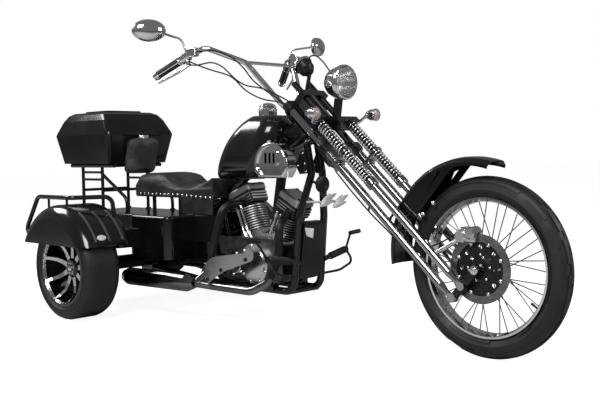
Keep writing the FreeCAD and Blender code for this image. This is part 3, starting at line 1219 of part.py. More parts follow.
def main():
    tyre, wheel, disc, carrier = front_wheel()
    save(tyre, "front_tyre")
    save(wheel, "front_wheel_rim")
    save(disc, "front_brake_disc")
    save(carrier, "front_disc_carrier")
    fender = rear_fender()
    for side, word in ((-1, "right"), (1, "left")):
        tyre, rim = rear_wheel(side)
        save(tyre, "rear_tyre_" + word)
        save(rim, "rear_wheel_rim_" + word)
        save(mirrored(fender) if side < 0 else fender, "rear_fender_" + word)
    save(pair(fender_guard()), "fender_guards")
    tubes = frame()
    room = frame(2 * FIT)
    save(tubes, "frame")
    save(pair(side_cover(1)).cut(room), "side_covers")
    lamp, post = headlamp()
    save(lamp, "headlamp")
    fork = {}
    for name, shape in fork_pieces().items():
        placed = fork[name] = in_fork(shape)
        if name == "spring_perch":
            placed = fuse([placed, post]).cut(lamp)
        save(placed, name)
    bar, grips = handlebar()
    save(bar, "handlebar")
    save(grips, "handlebar_grips")
    controls, foot = hand_controls()
    glasses = mirrors(foot)
    save(glasses, "mirrors")
    controls = controls.cut(glasses)
    save(controls, "hand_controls")
    save(turn_signals(), "turn_signals")
    dial = gauge()
    save(dial, "gauge")
    save(control_cables((controls, fork["fork_top_clamp"], fork["fork_fixed_legs"], bar, dial, lamp)),
         "control_cables")
    save(front_fender(), "front_fender")
    brake = caliper()
    save(brake, "brake_caliper")
    save(brake_line((brake, fork["fork_fixed_legs"], fork["fork_lower_clamp"])), "brake_line")
    case, cylinders, covers = engine()
    save(case, "engine_case")
    save(cylinders, "engine_cylinders")
    save(covers, "rocker_covers")
    cover, back = air_cleaner()
    tank = fuel_tank()
    throat = intake(back).cut(cylinders).cut(case).cut(covers)
    throat = max(throat.Solids, key=lambda p: p.Volume)
    save(fuse([cover, throat]), "air_cleaner")
    save(tank, "fuel_tank")
    save(filler_cap(), "filler_cap")
    pipes, _ = exhaust()
    pipes = max(pipes.cut(cylinders).cut(case).Solids, key=lambda p: p.Volume)
    save(pipes, "exhaust")
    save(max(heat_shield().cut(pipes).Solids, key=lambda p: p.Volume), "heat_shield")
    save(rear_axle(), "rear_axle")
    save(drive_shaft(), "drive_shaft")
    save(max(rear_body().cut(room).Solids, key=lambda p: p.Volume), "rear_body")
    save(max(saddle().cut(room).Solids, key=lambda p: p.Volume), "saddle")
    save(backrest(), "backrest")
    save(box_rack(), "box_rack")
    save(tail_box(), "tail_box")
    save(box_lid(), "tail_box_lid")
    save(front_cover().cut(room), "front_cover")
    save(horn().cut(room), "horn")
    save(wing_trim().cut(room), "wing_trim")
    save(Part.makeCompound([foot_peg(-1), foot_peg(1)]), "foot_pegs")
    save(foot_levers(), "foot_levers")
    save(rear_lamps(), "rear_lamps")


main()
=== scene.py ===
import bpy
import json
import math
from mathutils import Matrix, Vector

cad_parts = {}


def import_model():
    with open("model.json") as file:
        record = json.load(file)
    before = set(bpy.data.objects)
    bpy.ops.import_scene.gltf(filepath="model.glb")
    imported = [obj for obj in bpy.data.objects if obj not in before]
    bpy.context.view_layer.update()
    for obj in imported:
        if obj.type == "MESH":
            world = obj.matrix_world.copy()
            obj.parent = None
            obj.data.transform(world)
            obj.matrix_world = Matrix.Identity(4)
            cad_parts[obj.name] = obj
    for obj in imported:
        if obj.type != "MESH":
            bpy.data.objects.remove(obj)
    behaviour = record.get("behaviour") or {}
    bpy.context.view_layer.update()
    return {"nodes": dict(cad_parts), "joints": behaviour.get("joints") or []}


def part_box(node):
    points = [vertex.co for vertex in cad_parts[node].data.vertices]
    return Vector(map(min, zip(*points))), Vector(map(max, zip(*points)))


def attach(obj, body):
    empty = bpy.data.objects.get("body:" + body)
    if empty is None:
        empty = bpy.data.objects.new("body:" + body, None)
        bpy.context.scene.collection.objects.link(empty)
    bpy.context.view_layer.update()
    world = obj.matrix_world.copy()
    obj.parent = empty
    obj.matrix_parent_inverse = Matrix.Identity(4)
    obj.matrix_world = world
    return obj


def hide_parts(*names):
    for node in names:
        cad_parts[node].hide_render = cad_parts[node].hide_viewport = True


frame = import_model()
nodes = frame["nodes"]
joints = {j["name"]: j for j in frame["joints"]}

# -------------------- places taken from the frame
HEAD = Vector(joints["steering"]["pos_m"])
UP = Vector(joints["steering"]["axis"]).normalized()
LEAD = Vector((UP.z, 0, -UP.x))
FRONT_AXLE = Vector(joints["front_wheel_spin"]["pos_m"])
REAR_AXLE = {"right": Vector(joints["rear_wheel_spin_right"]["pos_m"]),
             "left": Vector(joints["rear_wheel_spin_left"]["pos_m"])}
AXLE_X = REAR_AXLE["right"].x


def at(ahead, y, z):
    """A point measured from the rear axle, on the ground."""
    return Vector((AXLE_X + ahead, y, z))


def fork_point(lead, y, s):
    """A point ahead of the steering axis, across, and up from the lower clamp."""
    return HEAD + LEAD * lead + Vector((0, y, 0)) + UP * s


# -------------------- materials
def blank(name):
    """A new material with its main shader and the object's own coordinates."""
    m = bpy.data.materials.new(name)
    m.use_nodes = True
    tree = m.node_tree
    tree.nodes.clear()
    out = tree.nodes.new("ShaderNodeOutputMaterial")
    shader = tree.nodes.new("ShaderNodeBsdfPrincipled")
    tree.links.new(shader.outputs[0], out.inputs[0])
    place = tree.nodes.new("ShaderNodeTexCoord")
    return m, tree, shader, place.outputs["Object"]


def noise(tree, place, scale, detail=3.0, stretch=None):
    """Cloudy pattern on the object's coordinates; stretch draws it out along an axis."""
    tex = tree.nodes.new("ShaderNodeTexNoise")
    tex.inputs["Scale"].default_value = scale
    tex.inputs["Detail"].default_value = detail
    if stretch:
        mapping = tree.nodes.new("ShaderNodeMapping")
        mapping.inputs["Scale"].default_value = stretch
        tree.links.new(place, mapping.inputs[0])
        place = mapping.outputs[0]
    tree.links.new(place, tex.inputs["Vector"])
    return tex.outputs["Fac"]


def spread(tree, value, low, high, start=0.3, end=0.7):
    """Turn a 0 to 1 pattern into a number between low and high."""
    span = tree.nodes.new("ShaderNodeMapRange")
    span.inputs["From Min"].default_value = start
    span.inputs["From Max"].default_value = end
    span.inputs["To Min"].default_value = low
    span.inputs["To Max"].default_value = high
    tree.links.new(value, span.inputs["Value"])
    return span.outputs[0]


def between(tree, value, first, second, start=0.35, end=0.65):
    """Turn a pattern into a colour between two colours."""
    ramp = tree.nodes.new("ShaderNodeValToRGB")
    ramp.color_ramp.elements[0].position = start
    ramp.color_ramp.elements[1].position = end
    ramp.color_ramp.elements[0].color = (*first, 1)
    ramp.color_ramp.elements[1].color = (*second, 1)
    tree.links.new(value, ramp.inputs[0])
    return ramp.outputs[0]


def relief(tree, shader, height, strength, distance):
    """Raise and sink a finish by a pattern."""
    bump = tree.nodes.new("ShaderNodeBump")
    bump.inputs["Strength"].default_value = strength
    bump.inputs["Distance"].default_value = distance
    tree.links.new(height, bump.inputs["Height"])
    tree.links.new(bump.outputs[0], shader.inputs["Normal"])


COAT_ROUGHNESS = 0.04
LEATHER_CELLS, LENS_RIBS = 340.0, 55.0
GLASS_IOR = 1.45


def surface(name, first, second, metal, rough, cloud, grain, bump, depth, coat=0.0, stretch=None, shine=0.5):
    """A finish with cloudy colour, uneven gloss and a fine grain."""
    m, tree, shader, place = blank(name)
    shader.inputs["Specular IOR Level"].default_value = shine
    soft = noise(tree, place, cloud, detail=4.0)
    fine = noise(tree, place, grain, detail=2.0, stretch=stretch)
    tree.links.new(between(tree, soft, first, second), shader.inputs["Base Color"])
    tree.links.new(spread(tree, soft, rough[0], rough[1]), shader.inputs["Roughness"])
    shader.inputs["Metallic"].default_value = metal
    shader.inputs["Coat Weight"].default_value = coat
    shader.inputs["Coat Roughness"].default_value = COAT_ROUGHNESS
    relief(tree, shader, fine, bump, depth)
    return m


def leather(name, first, worn_and_sheen, wear_and_sheen_from, wear_and_sheen_to):
    """Grained hide with creases, paler in cloudy patches that are partly rubbed wear and partly a painted
    sheen.
    """
    m, tree, shader, place = blank(name)
    cells = tree.nodes.new("ShaderNodeTexVoronoi")
    cells.feature = "DISTANCE_TO_EDGE"
    cells.inputs["Scale"].default_value = LEATHER_CELLS
    tree.links.new(place, cells.inputs["Vector"])
    folds = noise(tree, place, 26.0, detail=6.0)
    rub_and_sheen = noise(tree, place, 7.0, detail=5.0)
    # the paler colour is partly real wear and partly a painted sheen standing in for light on the hide
    tree.links.new(between(tree, rub_and_sheen, first, worn_and_sheen, wear_and_sheen_from, wear_and_sheen_to), shader.inputs["Base Color"])
    tree.links.new(spread(tree, folds, 0.34, 0.58), shader.inputs["Roughness"])
    grain = spread(tree, cells.outputs["Distance"], 0.0, 0.6, start=0.0, end=0.12)
    add = tree.nodes.new("ShaderNodeMath")
    add.operation = "ADD"
    tree.links.new(grain, add.inputs[0])
    tree.links.new(folds, add.inputs[1])
    relief(tree, shader, add.outputs[0], strength=0.5, distance=0.0009)
    shader.inputs["Specular IOR Level"].default_value = 0.45
    return m


def lens(name, colour, rough, weight):
    """Ribbed lamp glass; weight says how much light it lets through."""
    m, tree, shader, place = blank(name)
    soft = noise(tree, place, 60.0, detail=2.0)
    tree.links.new(between(tree, soft, colour, tuple(c * 0.9 for c in colour)), shader.inputs["Base Color"])
    tree.links.new(spread(tree, soft, rough, rough + 0.05), shader.inputs["Roughness"])
    shader.inputs["Transmission Weight"].default_value = weight
    shader.inputs["IOR"].default_value = GLASS_IOR
    ribs = tree.nodes.new("ShaderNodeTexWave")
    ribs.inputs["Scale"].default_value = LENS_RIBS
    ribs.bands_direction = "Y"
    tree.links.new(place, ribs.inputs["Vector"])
    relief(tree, shader, ribs.outputs["Fac"], strength=0.35, distance=0.0012)
    return m


PAINT = surface("black_gloss_paint", (0.004, 0.004, 0.0042), (0.007, 0.007, 0.0072), 0.0, (0.12, 0.2),
                cloud=6.0, grain=420.0, bump=0.04, depth=0.0002, coat=0.5, shine=0.35)
CHROME = surface("polished_chrome", (0.74, 0.75, 0.77), (0.82, 0.83, 0.84), 1.0, (0.05, 0.12),
                 cloud=14.0, grain=260.0, bump=0.03, depth=0.0002)
SATIN = surface("satin_black_metal", (0.007, 0.007, 0.0072), (0.014, 0.014, 0.0144), 0.0, (0.3, 0.46),
                cloud=22.0, grain=420.0, bump=0.16, depth=0.0004, shine=0.32)
CAST = surface("cast_aluminium", (0.09, 0.09, 0.093), (0.2, 0.2, 0.205), 1.0, (0.34, 0.5),
               cloud=26.0, grain=420.0, bump=0.5, depth=0.0008)
POLISHED = surface("polished_aluminium", (0.62, 0.62, 0.63), (0.74, 0.74, 0.75), 1.0, (0.14, 0.26),
                   cloud=12.0, grain=320.0, bump=0.06, depth=0.0003)
FINS = surface("finned_black_alloy", (0.02, 0.02, 0.021), (0.05, 0.05, 0.05), 0.6, (0.34, 0.5),
               cloud=18.0, grain=480.0, bump=0.3, depth=0.0005)
STEEL = surface("brushed_steel", (0.46, 0.46, 0.47), (0.6, 0.6, 0.61), 1.0, (0.2, 0.34),
                cloud=10.0, grain=60.0, bump=0.1, depth=0.0003, stretch=(1, 14, 14))
DARK_STEEL = surface("dull_steel", (0.16, 0.16, 0.165), (0.26, 0.26, 0.26), 0.9, (0.3, 0.42),
                     cloud=14.0, grain=200.0, bump=0.06, depth=0.0003)
PIPE = surface("polished_pipe", (0.17, 0.17, 0.174), (0.26, 0.26, 0.262), 1.0, (0.1, 0.2),
               cloud=16.0, grain=380.0, bump=0.06, depth=0.0003)
FORK = surface("fork_chrome", (0.36, 0.36, 0.365), (0.44, 0.44, 0.442), 1.0, (0.06, 0.13),
               cloud=14.0, grain=260.0, bump=0.03, depth=0.0002)
MACHINED = surface("machined_edges", (0.5, 0.5, 0.51), (0.62, 0.62, 0.62), 1.0, (0.32, 0.46),
                   cloud=30.0, grain=420.0, bump=0.12, depth=0.0003)
SILVER = surface("silver_trim", (0.74, 0.74, 0.74), (0.84, 0.84, 0.84), 0.5, (0.3, 0.42),
                 cloud=40.0, grain=300.0, bump=0.1, depth=0.0004)
RUBBER = surface("tyre_rubber", (0.008, 0.008, 0.0082), (0.017, 0.017, 0.017), 0.0, (0.46, 0.64),
                 cloud=9.0, grain=620.0, bump=0.28, depth=0.0004)
GRIP = surface("grip_rubber", (0.007, 0.007, 0.0072), (0.014, 0.014, 0.014), 0.0, (0.46, 0.62),
               cloud=20.0, grain=700.0, bump=0.3, depth=0.0004)
PLASTIC = surface("black_gloss_plastic", (0.005, 0.005, 0.0052), (0.01, 0.01, 0.0102), 0.0, (0.12, 0.22),
                  cloud=5.0, grain=700.0, bump=0.08, depth=0.0003, coat=0.2, shine=0.3)
HIDE = leather("saddle_leather", (0.012, 0.012, 0.0125), (0.07, 0.07, 0.07), 0.46, 0.8)
REST_HIDE = leather("backrest_leather", (0.03, 0.03, 0.031), (0.11, 0.11, 0.112), 0.4, 0.8)
RED = lens("red_lamp", (0.42, 0.012, 0.012), 0.12, 0.25)
BLUSH = lens("signal_lens", (0.86, 0.66, 0.62), 0.08, 0.55)
CLEAR = lens("headlamp_lens", (0.95, 0.95, 0.95), 0.03, 0.9)
GLASS = surface("mirror_glass", (0.84, 0.85, 0.87), (0.88, 0.89, 0.9), 1.0, (0.02, 0.04),
                cloud=5.0, grain=50.0, bump=0.0, depth=0.0001)
WHITE = surface("reflector_white", (0.7, 0.7, 0.69), (0.82, 0.82, 0.81), 0.0, (0.25, 0.35),
                cloud=30.0, grain=500.0, bump=0.3, depth=0.0006)
DIAL = surface("dial_face", (0.72, 0.72, 0.7), (0.8, 0.8, 0.78), 0.0, (0.4, 0.5),
               cloud=30.0, grain=300.0, bump=0.05, depth=0.0001)

FINISHES = (
    (PAINT, ("frame", "fuel_tank", "rear_body", "rear_fender_right", "rear_fender_left", "side_covers",
             "front_fender", "spring_perch", "fork_lower_clamp", "fork_top_clamp", "fender_guards",
             "box_rack", "rear_wheel_rim_right", "rear_wheel_rim_left")),
    (CHROME, ("handlebar", "mirrors", "turn_signals", "hand_controls", "air_cleaner", "filler_cap",
              "front_wheel_rim")),
    (MACHINED, ("rocker_covers",)),
    (FORK, ("fork_fixed_legs", "fork_spring_legs")),
    (SATIN, ("rear_axle", "drive_shaft", "fork_rockers", "control_cables", "brake_line", "horn",
             "front_disc_carrier", "gauge", "foot_levers")),
    (PLASTIC, ("tail_box", "tail_box_lid", "front_cover")),
    (CAST, ("engine_case",)),
    (POLISHED, ("brake_caliper",)),
    (FINS, ("engine_cylinders",)),
    (STEEL, ("heat_shield",)),
    (DARK_STEEL, ("front_brake_disc",)),
    (PIPE, ("exhaust",)),
    (GRIP, ("foot_pegs",)),
    (RED, ("rear_lamps",)),
)
for finish, names in FINISHES:
    for name in names:
        mesh = nodes[name].data
        mesh.materials.clear()
        mesh.materials.append(finish)


def two_tone(name, finish, chosen):
    """Give the faces that a test picks one more finish."""
    mesh = nodes[name].data
    mesh.materials.append(finish)
    for face in mesh.polygons:
        if chosen(face):
            face.material_index = len(mesh.materials) - 1


# rear spokes between hub and rim, and out from the wheel's middle; laced spokes between hub and rim
REAR_SPOKE_REACH, REAR_SPOKE_OUT, LACED_REACH = (0.05, 0.1715), 0.0245, (0.046, 0.2505)
# cylinders: ahead, height, lean, half width of the head; then the fins' radius and heights up a cylinder
CYLINDERS = ((0.778, 0.27, -22.0, 0.08), (0.815, 0.258, 27.0, 0.066))
FIN_R, FIN_LOW, HEAD_LOW, COVER_TOP = 0.068, 0.12, 0.292, 0.385
HEAD_HALF_Y, CASE_Y, CASE_TOP_Z = 0.057, 0.118, 0.376
CASE_TOP_HALF_Y = 0.08
FENDER_C, FENDER_OUT = at(-0.05, 0, 0.22), 0.337
CLEANER_FACE, CLEANER_BACK_Y = at(1.02, -0.205, 0.762), -0.1402
SLOTS_DEEP, SLOTS_HALF_X, SLOTS_Z = (0.0095, 0.0225), 0.0335, (-0.0145, 0.0325)
DARK_REFLECTION_Z = 0.245  # above it the exhaust takes satin black, a painted dark reflection of the parts over it
# how far a face may lie from the surface that it is tested for
EDGE_SKIN, FIN_SKIN, CASE_SKIN, RIB_SKIN = 0.0008, 0.002, 0.0005, 0.0016


def spoke_face(side):
    """Test for the bright outer faces of a rear wheel's spokes."""
    centre = REAR_AXLE[side]
    out = -1 if side == "right" else 1

    def chosen(face):
        offset = face.center - centre
        reach = math.hypot(offset.x, offset.z)
        near, far = REAR_SPOKE_REACH
        return face.normal.y * out > 0.5 and near < reach < far and offset.y * out > REAR_SPOKE_OUT
    return chosen


def wire_spoke(face):
    """Test for the laced spokes of the front wheel."""
    offset = face.center - FRONT_AXLE
    return LACED_REACH[0] < math.hypot(offset.x, offset.z) < LACED_REACH[1]


def barrel_frame(row):
    """Foot, upward direction and sideways direction of a cylinder."""
    ahead, height, lean, _ = row
    lean = math.radians(lean)
    up = Vector((math.sin(lean), 0, math.cos(lean)))
    return at(ahead, 0, height), up, Vector((up.z, 0, -up.x))


def fin_edge(face):
    """Test for the machined outer edges of the fins and of the heads' rings."""
    for row in CYLINDERS:
        foot, up, across = barrel_frame(row)
        offset = face.center - foot
        high, wide = offset.dot(up), abs(offset.dot(across))
        if abs(face.normal.dot(up)) > 0.3 or high < FIN_LOW:
            continue
        flat = offset - up * high
        if high < HEAD_LOW and abs(flat.length - FIN_R) < FIN_SKIN:
            return True
        if high >= HEAD_LOW and (abs(offset.y) > HEAD_HALF_Y - EDGE_SKIN or wide > row[3] - EDGE_SKIN):
            return True
    return False


def case_cover(face):
    """Test for the round covers that stand out from the crankcase, and for its top."""
    reach = abs(face.center.y)
    return reach > CASE_Y + CASE_SKIN or (face.center.z > CASE_TOP_Z and reach < CASE_TOP_HALF_Y)


def fender_rib_highlight(face):
    """Test for the ribs raised over the rear fenders, whose dull steel is a painted highlight."""
    offset = face.center - FENDER_C
    return math.hypot(offset.x, offset.z) > FENDER_OUT + RIB_SKIN


def cleaner_slot(face):
    """Test for the insides of the air cleaner's three slots."""
    x, y, z = face.center - CLEANER_FACE
    return SLOTS_DEEP[0] < y < SLOTS_DEEP[1] and abs(x) < SLOTS_HALF_X and SLOTS_Z[0] < z < SLOTS_Z[1]


two_tone("air_cleaner", SATIN, lambda face: face.center.y > CLEANER_BACK_Y)
two_tone("air_cleaner", PLASTIC, cleaner_slot)
# the exhaust's upper faces are satin black as a painted dark reflection
two_tone("exhaust", SATIN, lambda face: face.center.z > DARK_REFLECTION_Z)
two_tone("fork_top_clamp", SATIN, lambda face: abs(face.normal.y) > 0.7)
two_tone("engine_cylinders", MACHINED, fin_edge)
two_tone("engine_case", POLISHED, case_cover)
two_tone("front_wheel_rim", DARK_STEEL, wire_spoke)
for side in ("right", "left"):
    # the fender ribs take dull steel as a painted highlight along them
    two_tone("rear_fender_" + side, DARK_STEEL, fender_rib_highlight)
    two_tone("rear_wheel_rim_" + side, POLISHED, spoke_face(side))


# -------------------- making pieces
ORIGIN, AHEAD, ACROSS, UPRIGHT = (0, 0, 0), (1, 0, 0), (0, 1, 0), (0, 0, 1)
SIDES = (-1, 1)  # right, left
WELD = 0.00002


def clear():
    """Select nothing."""
    bpy.ops.object.select_all(action="DESELECT")


def pick(obj):
    """Select one object alone and make it the active one."""
    clear()
    obj.select_set(True)
    bpy.context.view_layer.objects.active = obj


def mode(name):
    """Go to edit or object mode."""
    bpy.ops.object.mode_set(mode=name)


def edit_all():
    """Go to edit mode with the whole mesh selected."""
    mode("EDIT")
    bpy.ops.mesh.select_all(action="SELECT")


def face_out():
    """Turn every face of the mesh in edit mode outwards."""
    bpy.ops.mesh.select_all(action="SELECT")
    bpy.ops.mesh.normals_make_consistent(inside=False)


def settle(obj, name, body, finish, angle=35.0):
    """Name a finished piece, put its place in its mesh, smooth it and let it ride."""
    obj.name = name
    pick(obj)
    bpy.ops.object.transform_apply(location=True, rotation=True, scale=True)
    bpy.ops.object.shade_smooth_by_angle(angle=math.radians(angle))
    obj.data.materials.clear()
    obj.data.materials.append(finish)
    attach(obj, body)
    return obj


def chromed(obj, name, body, angle=40):
    """Settle a chrome piece."""
    return settle(obj, name, body, CHROME, angle)


def apply(obj, kind, **values):
    """Add a modifier with its values and apply it."""
    pick(obj)
    mod = obj.modifiers.new(kind.lower(), kind)
    for key, value in values.items():
        setattr(mod, key, value)
    bpy.ops.object.modifier_apply(modifier=mod.name)
    return obj


def join(objs):
    """Make one object of several."""
    clear()
    for o in objs:
        o.select_set(True)
    bpy.context.view_layer.objects.active = objs[0]
    if len(objs) > 1:
        bpy.ops.object.join()
    return objs[0]


def linked(obj):
    """Put a new object into the scene."""
    bpy.context.scene.collection.objects.link(obj)
    return obj


def copied(obj, move):
    """A copy with its own mesh, moved by a matrix."""
    twin = linked(obj.copy())
    twin.data = obj.data.copy()
    twin.matrix_world = move @ obj.matrix_world
    return twin


def outline(points):
    """Draw a closed line through the points by extruding one vertex along them."""
    clear()
    bpy.ops.mesh.primitive_plane_add(size=0.001, location=points[0])
    obj = bpy.context.object
    edit_all()
    bpy.ops.mesh.merge(type="CENTER")
    for p, q in zip(points, points[1:]):
        bpy.ops.mesh.extrude_region_move(TRANSFORM_OT_translate={"value": q - p})
    mode("OBJECT")
    obj.data.vertices[0].select = True
    mode("EDIT")
    bpy.ops.mesh.edge_face_add()
    mode("OBJECT")
    return obj


def spun(section, centre, axis, steps, outward=(0, 0, 1)):
    """Turn a closed (along, radius) section about an axis through centre."""
    axis = Vector(axis).normalized()
    out = Vector(outward)
    out = (out - axis * out.dot(axis)).normalized()
    obj = outline([Vector(centre) + axis * along + out * radius for along, radius in section])
    edit_all()
    bpy.ops.mesh.spin(steps=steps, angle=2 * math.pi, center=centre, axis=axis)
    bpy.ops.mesh.select_all(action="SELECT")
    bpy.ops.mesh.remove_doubles(threshold=WELD)
    bpy.ops.mesh.dissolve_degenerate(threshold=WELD / 2)
    bpy.ops.mesh.delete_loose()
    face_out()
    mode("OBJECT")
    return obj


def stretched(obj, factors):
    """Stretch a piece in its mesh."""
    pick(obj)
    edit_all()
    bpy.ops.transform.resize(value=factors)
    mode("OBJECT")
    return obj


def block(place, size, bevel, segments):
    """A straight block with rounded edges."""
    clear()
    bpy.ops.mesh.primitive_cube_add(size=1.0, location=place, scale=size)
    piece = bpy.context.object
    bpy.ops.object.transform_apply(location=True, rotation=True, scale=True)
    return apply(piece, "BEVEL", width=bevel, segments=segments)


def oval(vertices, radius, depth, factors, bevel):
    """A flat oval button with rounded edges, at the origin."""
    clear()
    bpy.ops.mesh.primitive_cylinder_add(vertices=vertices, radius=radius, depth=depth)
    piece = stretched(bpy.context.object, factors)
    return apply(piece, "BEVEL", width=bevel, segments=3, limit_method="ANGLE")


def facing(direction):
    """Turn that points an object's own Z along a direction."""
    return Vector(direction).to_track_quat("Z", "Y").to_matrix().to_4x4()


def dome_bolt(place, direction, radius, height):
    """A round-headed fastener with a socket, standing on a surface."""
    axis = Vector(direction).normalized()
    r = radius
    section = [(-height, r * 0.8), (0, r), (height * 0.45, r), (height * 0.85, r * 0.72), (height, r * 0.42),
               (height * 0.5, r * 0.36), (height * 0.5, 0), (-height, 0)]
    side = (0, 1, 0) if abs(axis.z) > 0.9 else (0, 0, 1)
    return spun(section, Vector(place), axis, 14, outward=side)


# -------------------- tyres
def treaded(name, body, centre, section, band, steps, pattern, depth):
    """A tyre spun from its section, with grooves sunk where pattern says."""
    obj = spun(section, centre, ACROSS, steps)
    mode("EDIT")
    bpy.ops.mesh.select_all(action="DESELECT")
    bpy.ops.mesh.select_mode(type="FACE")
    mode("OBJECT")
    for face in obj.data.polygons:
        offset = face.center - centre
        reach = math.hypot(offset.x, offset.z)
        if reach < band:
            continue
        step = int((math.atan2(offset.z, offset.x) / (2 * math.pi) % 1.0) * steps)
        face.select = pattern(step, offset.y)
    mode("EDIT")
    bpy.ops.mesh.extrude_region_shrink_fatten(TRANSFORM_OT_shrink_fatten={"value": -depth})
    bpy.ops.mesh.select_mode(type="VERT")
    face_out()
    mode("OBJECT")
    return settle(obj, name, body, RUBBER, 28)


def round_section(half, crown, shoulder_r, bead_half, bead_r, well, points):
    """Tyre section: bead, side wall and a round crown."""
    section = [(-bead_half, well), (-bead_half - 0.002, bead_r + 0.001), (-half * 0.86, bead_r + 0.014),
               (-half, shoulder_r)]
    for i in range(points + 1):
        y = -half + 2 * half * i / points
        rise = math.sqrt(max(0.0, 1 - (y / half) ** 2))
        section.append((y * 0.985, shoulder_r + (crown - shoulder_r) * rise))
    section += [(half, shoulder_r), (half * 0.86, bead_r + 0.014), (bead_half + 0.002, bead_r + 0.001),
                (bead_half, well)]
    return section


FRONT_RIM_R, FRONT_STEPS, FRONT_GROOVE = 0.267, 216, 0.0035
REAR_RIM_R, REAR_STEPS, REAR_GROOVE = 0.186, 180, 0.005


def tyre_size(name):
    """Outer radius and half width of a tyre."""
    low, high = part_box(name)
    return (high.z - low.z) / 2, (high.y - low.y) / 2


def front_tread(step, y):
    """Grooves of the front tyre: a centre line, two more on each side, and blocks between them."""
    if abs(y) < 0.0045:
        return True
    if abs(y) < 0.016:
        return step % 4 == (0 if y > 0 else 2)
    if abs(y) < 0.021:
        return True
    return abs(y) < 0.041 and step % 4 == (2 if y > 0 else 0)


def front_tyre():
    """Round front tyre with its tread."""
    crown, half = tyre_size("front_tyre")
    rim = FRONT_RIM_R
    section = round_section(half, crown, rim + 0.031, 0.025, rim, rim - 0.0097, 14)
    tyre = treaded("front_tyre_treaded", "front_wheel", FRONT_AXLE, section, crown - 0.034, FRONT_STEPS,
                   front_tread, FRONT_GROOVE)
    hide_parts("front_tyre")


def rear_tyre(side):
    """Flat, wide rear tyre with its tread."""
    crown, half = tyre_size("rear_tyre_" + side)
    rim = REAR_RIM_R
    wall = [(half - 0.018, rim), (half - 0.006, rim + 0.008), (half, rim + 0.026), (half, crown - 0.042),
            (half - 0.005, crown - 0.024), (half - 0.015, crown - 0.011), (half - 0.03, crown - 0.003)]
    wall += [(y, crown) for y in (0.058, 0.05, 0.035, 0.028, 0.013, 0.006)]
    section = [(-y, r) for y, r in wall] + wall[::-1]

    def rear_tread(step, y):
        a = abs(y)
        if 0.05 < a < 0.058 or 0.028 < a < 0.035 or a < 0.006:
            return True
        if a < 0.028:
            return step % 6 == (1 if y > 0 else 4)
        if a < 0.05:
            return step % 6 == (2 if y > 0 else 5)
        return a < half - 0.004 and step % 6 == 3
    tyre = treaded("rear_tyre_%s_treaded" % side, "rear_wheel_" + side, REAR_AXLE[side], section,
                   crown - 0.028, REAR_STEPS, rear_tread, REAR_GROOVE)
    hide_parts("rear_tyre_" + side)


front_tyre()
rear_tyre("right")
rear_tyre("left")


# -------------------- fork springs
ROD_LEAD, LEG_Y = 0.119, 0.097
SPRING_ENDS = ((-0.272, -0.102), (-0.092, 0.086))  # along the fork, from the lower clamp
SPRING_R, WIRE_R, SPRING_PITCH = 0.0209, 0.004, 0.0158
SPRINGS = [(low, high, y) for low, high in SPRING_ENDS for y in (-LEG_Y, LEG_Y)]
GUIDE_R, GUIDE_BORE, GUIDE_GAP = 0.0135, 0.0085, 0.0005


def spring(low, high, y):
    """A coil of round wire that fills the room between its two seats."""
    room = high - low - 2 * WIRE_R
    turns = int(room / SPRING_PITCH)
    clear()
    bpy.ops.mesh.primitive_circle_add(vertices=10, radius=WIRE_R, location=(SPRING_R, 0, WIRE_R),
                                      rotation=(math.pi / 2, 0, 0))
    obj = bpy.context.object
    bpy.ops.object.transform_apply(location=True, rotation=True, scale=True)
    apply(obj, "SCREW", angle=2 * math.pi, screw_offset=room / turns, iterations=turns, steps=20,
          render_steps=20, use_merge_vertices=True, use_smooth_shade=True)
    turn = Matrix(((LEAD.x, 0, UP.x, 0), (LEAD.y, 1, UP.y, 0), (LEAD.z, 0, UP.z, 0), (0, 0, 0, 1)))
    obj.matrix_world = Matrix.Translation(fork_point(ROD_LEAD, y, low)) @ turn
    return obj


def fork_springs():
    """The four coils in place of the ribbed solids, and a tube inside each."""
    piece = join([spring(*place) for place in SPRINGS])
    mode("EDIT")
    face_out()
    mode("OBJECT")
    chromed(piece, "fork_spring_coils", "steering", 60)
    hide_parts("fork_springs")
    sleeves = []
    for low, high, y in SPRINGS:
        top = high - low - GUIDE_GAP
        wall = [(GUIDE_GAP, GUIDE_BORE), (GUIDE_GAP, GUIDE_R), (top, GUIDE_R), (top, GUIDE_BORE)]
        sleeves.append(spun(wall, fork_point(ROD_LEAD, y, low), UP, 28, outward=ACROSS))
    settle(join(sleeves), "spring_guide_tubes", "steering", GRIP, 40)


fork_springs()


# -------------------- saddle and backrest
SWELL_FRAMES = 20
PAD_PRESSURE = 4.0


def puffed(obj, voxel, cap, holds_below):
    """Fill a pad with air as cloth, hold its underside, and keep the swell under cap."""
    pick(obj)
    obj.data.remesh_voxel_size = voxel
    bpy.ops.object.voxel_remesh()
    start = [v.co.copy() for v in obj.data.vertices]
    group = obj.vertex_groups.new(name="held")
    held = [v.index for v in obj.data.vertices if v.co.z < holds_below]
    group.add(held or [0], 1.0, "REPLACE")
    mod = obj.modifiers.new("cloth", "CLOTH")
    cloth = mod.settings
    cloth.use_pressure = True
    cloth.uniform_pressure_force = PAD_PRESSURE
    cloth.effector_weights.gravity = 0.0
    cloth.tension_stiffness = 18.0
    cloth.bending_stiffness = 2.0
    cloth.vertex_group_mass = "held"
    mod.point_cache.frame_start = 1
    mod.point_cache.frame_end = SWELL_FRAMES
    for frame_number in range(1, SWELL_FRAMES + 1):
        bpy.context.scene.frame_set(frame_number)
    bpy.ops.object.modifier_apply(modifier=mod.name)
    bpy.context.scene.frame_set(1)
    obj.vertex_groups.clear()
    for v, was in zip(obj.data.vertices, start):
        shift = v.co - was
        if shift.length > cap:
            v.co = was + shift * (cap / shift.length)
    apply(obj, "SMOOTH", factor=0.5, iterations=8)
    apply(obj, "SUBSURF", levels=1, render_levels=1)


